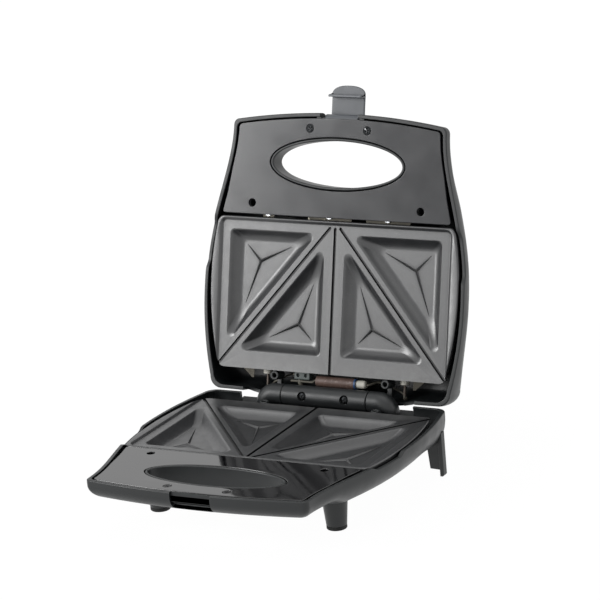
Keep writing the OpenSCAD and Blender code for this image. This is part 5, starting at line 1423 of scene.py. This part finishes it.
# ---- Camera: the photograph's own view ----
yaw, pitch, roll, distance = 0.50302, 0.28977, -0.084386, 2.575
forward = Vector((-math.sin(yaw) * math.cos(pitch), math.cos(yaw) * math.cos(pitch), -math.sin(pitch)))
level_right = Vector((math.cos(yaw), math.sin(yaw), 0))
level_up = level_right.cross(forward)
right = level_right * math.cos(roll) + level_up * math.sin(roll)
up = level_up * math.cos(roll) - level_right * math.sin(roll)
target = hinge + Vector((0, -0.080, 0.060)) + right * 0.019864 + up * 0.044493
camera = bpy.data.objects.new("camera", bpy.data.cameras.new("camera"))
camera.data.lens, camera.data.sensor_width = 198.53, 36.0
camera.data.clip_end = 50
camera.matrix_world = Matrix.Translation(target - forward * distance) @ Matrix(
    ((right.x, up.x, -forward.x), (right.y, up.y, -forward.y), (right.z, up.z, -forward.z))).to_4x4()
bpy.context.scene.collection.objects.link(camera)
bpy.context.scene.camera = camera


# ---- Floor, world and lamps ----
def light_rays(tree):
    """1 for rays that should see the plain white background."""
    path = tree.nodes.new("ShaderNodeLightPath").outputs
    first = math_node(tree, "MAXIMUM", path["Is Camera Ray"], path["Is Glossy Ray"])
    return math_node(tree, "MAXIMUM", first, path["Is Transmission Ray"])


def mix_shaders(tree, share, first, second, output):
    """Sends the second shader out where share is 1, and the first elsewhere."""
    blend = tree.nodes.new("ShaderNodeMixShader")
    for socket, source in zip(blend.inputs, (share, first.outputs[0], second.outputs[0])):
        tree.links.new(source, socket)
    tree.links.new(blend.outputs[0], tree.nodes[output].inputs["Surface"])


floor = bpy.data.meshes.new("floor")
work = bmesh.new()
bmesh.ops.create_circle(work, cap_ends=True, segments=96, radius=14)
work.to_mesh(floor)
work.free()
floor_obj = bpy.data.objects.new("floor", floor)
bpy.context.scene.collection.objects.link(floor_obj)
floor_material = bpy.data.materials.new("floor")
floor_material.use_nodes = True
tree = floor_material.node_tree
diffuse = tree.nodes.new("ShaderNodeBsdfDiffuse")
diffuse.inputs["Color"].default_value = (0.86, 0.86, 0.86, 1)
glow = tree.nodes.new("ShaderNodeEmission")
glow.inputs["Strength"].default_value = 1.03
place = tree.nodes.new("ShaderNodeNewGeometry")
reach = tree.nodes.new("ShaderNodeVectorMath")
reach.operation = "LENGTH"
tree.links.new(place.outputs["Position"], reach.inputs[0])
fade = map_range(tree, reach.outputs["Value"], 0.2, 0.5, 0.95, 1.0)
mix_shaders(tree, math_node(tree, "MULTIPLY", light_rays(tree), fade), diffuse, glow, "Material Output")
floor.materials.append(floor_material)

world = bpy.data.worlds.new("studio")
bpy.context.scene.world = world
world.use_nodes = True
tree = world.node_tree
ambient = tree.nodes["Background"]
ambient.inputs["Color"].default_value = (0.97, 0.98, 1.0, 1)
ambient.inputs["Strength"].default_value = 0.3
white = tree.nodes.new("ShaderNodeBackground")
white.inputs["Color"].default_value = (1, 1, 1, 1)
white.inputs["Strength"].default_value = 1.0
mix_shaders(tree, light_rays(tree), ambient, white, "World Output")


def softbox(name, place, aim, width, height, power):
    lamp = bpy.data.lights.new(name, "AREA")
    lamp.shape, lamp.size, lamp.size_y, lamp.energy = "RECTANGLE", width, height, power
    obj = bpy.data.objects.new(name, lamp)
    bpy.context.scene.collection.objects.link(obj)
    obj.location = place
    obj.rotation_euler = (Vector(aim) - Vector(place)).to_track_quat("-Z", "Y").to_euler()
    obj.visible_camera = False


softbox("key", (-1.53, -1.55, 0.95), (0, 0, 0.15), 0.8, 1.2, 34)
softbox("top", (0.3, -0.3, 2.6), (0, 0, 0.1), 1.6, 1.6, 10)
softbox("right", (2.3, 0.4, 1.2), (0, 0, 0.12), 1.0, 1.0, 5)

bpy.context.scene.view_settings.view_transform = "Standard"
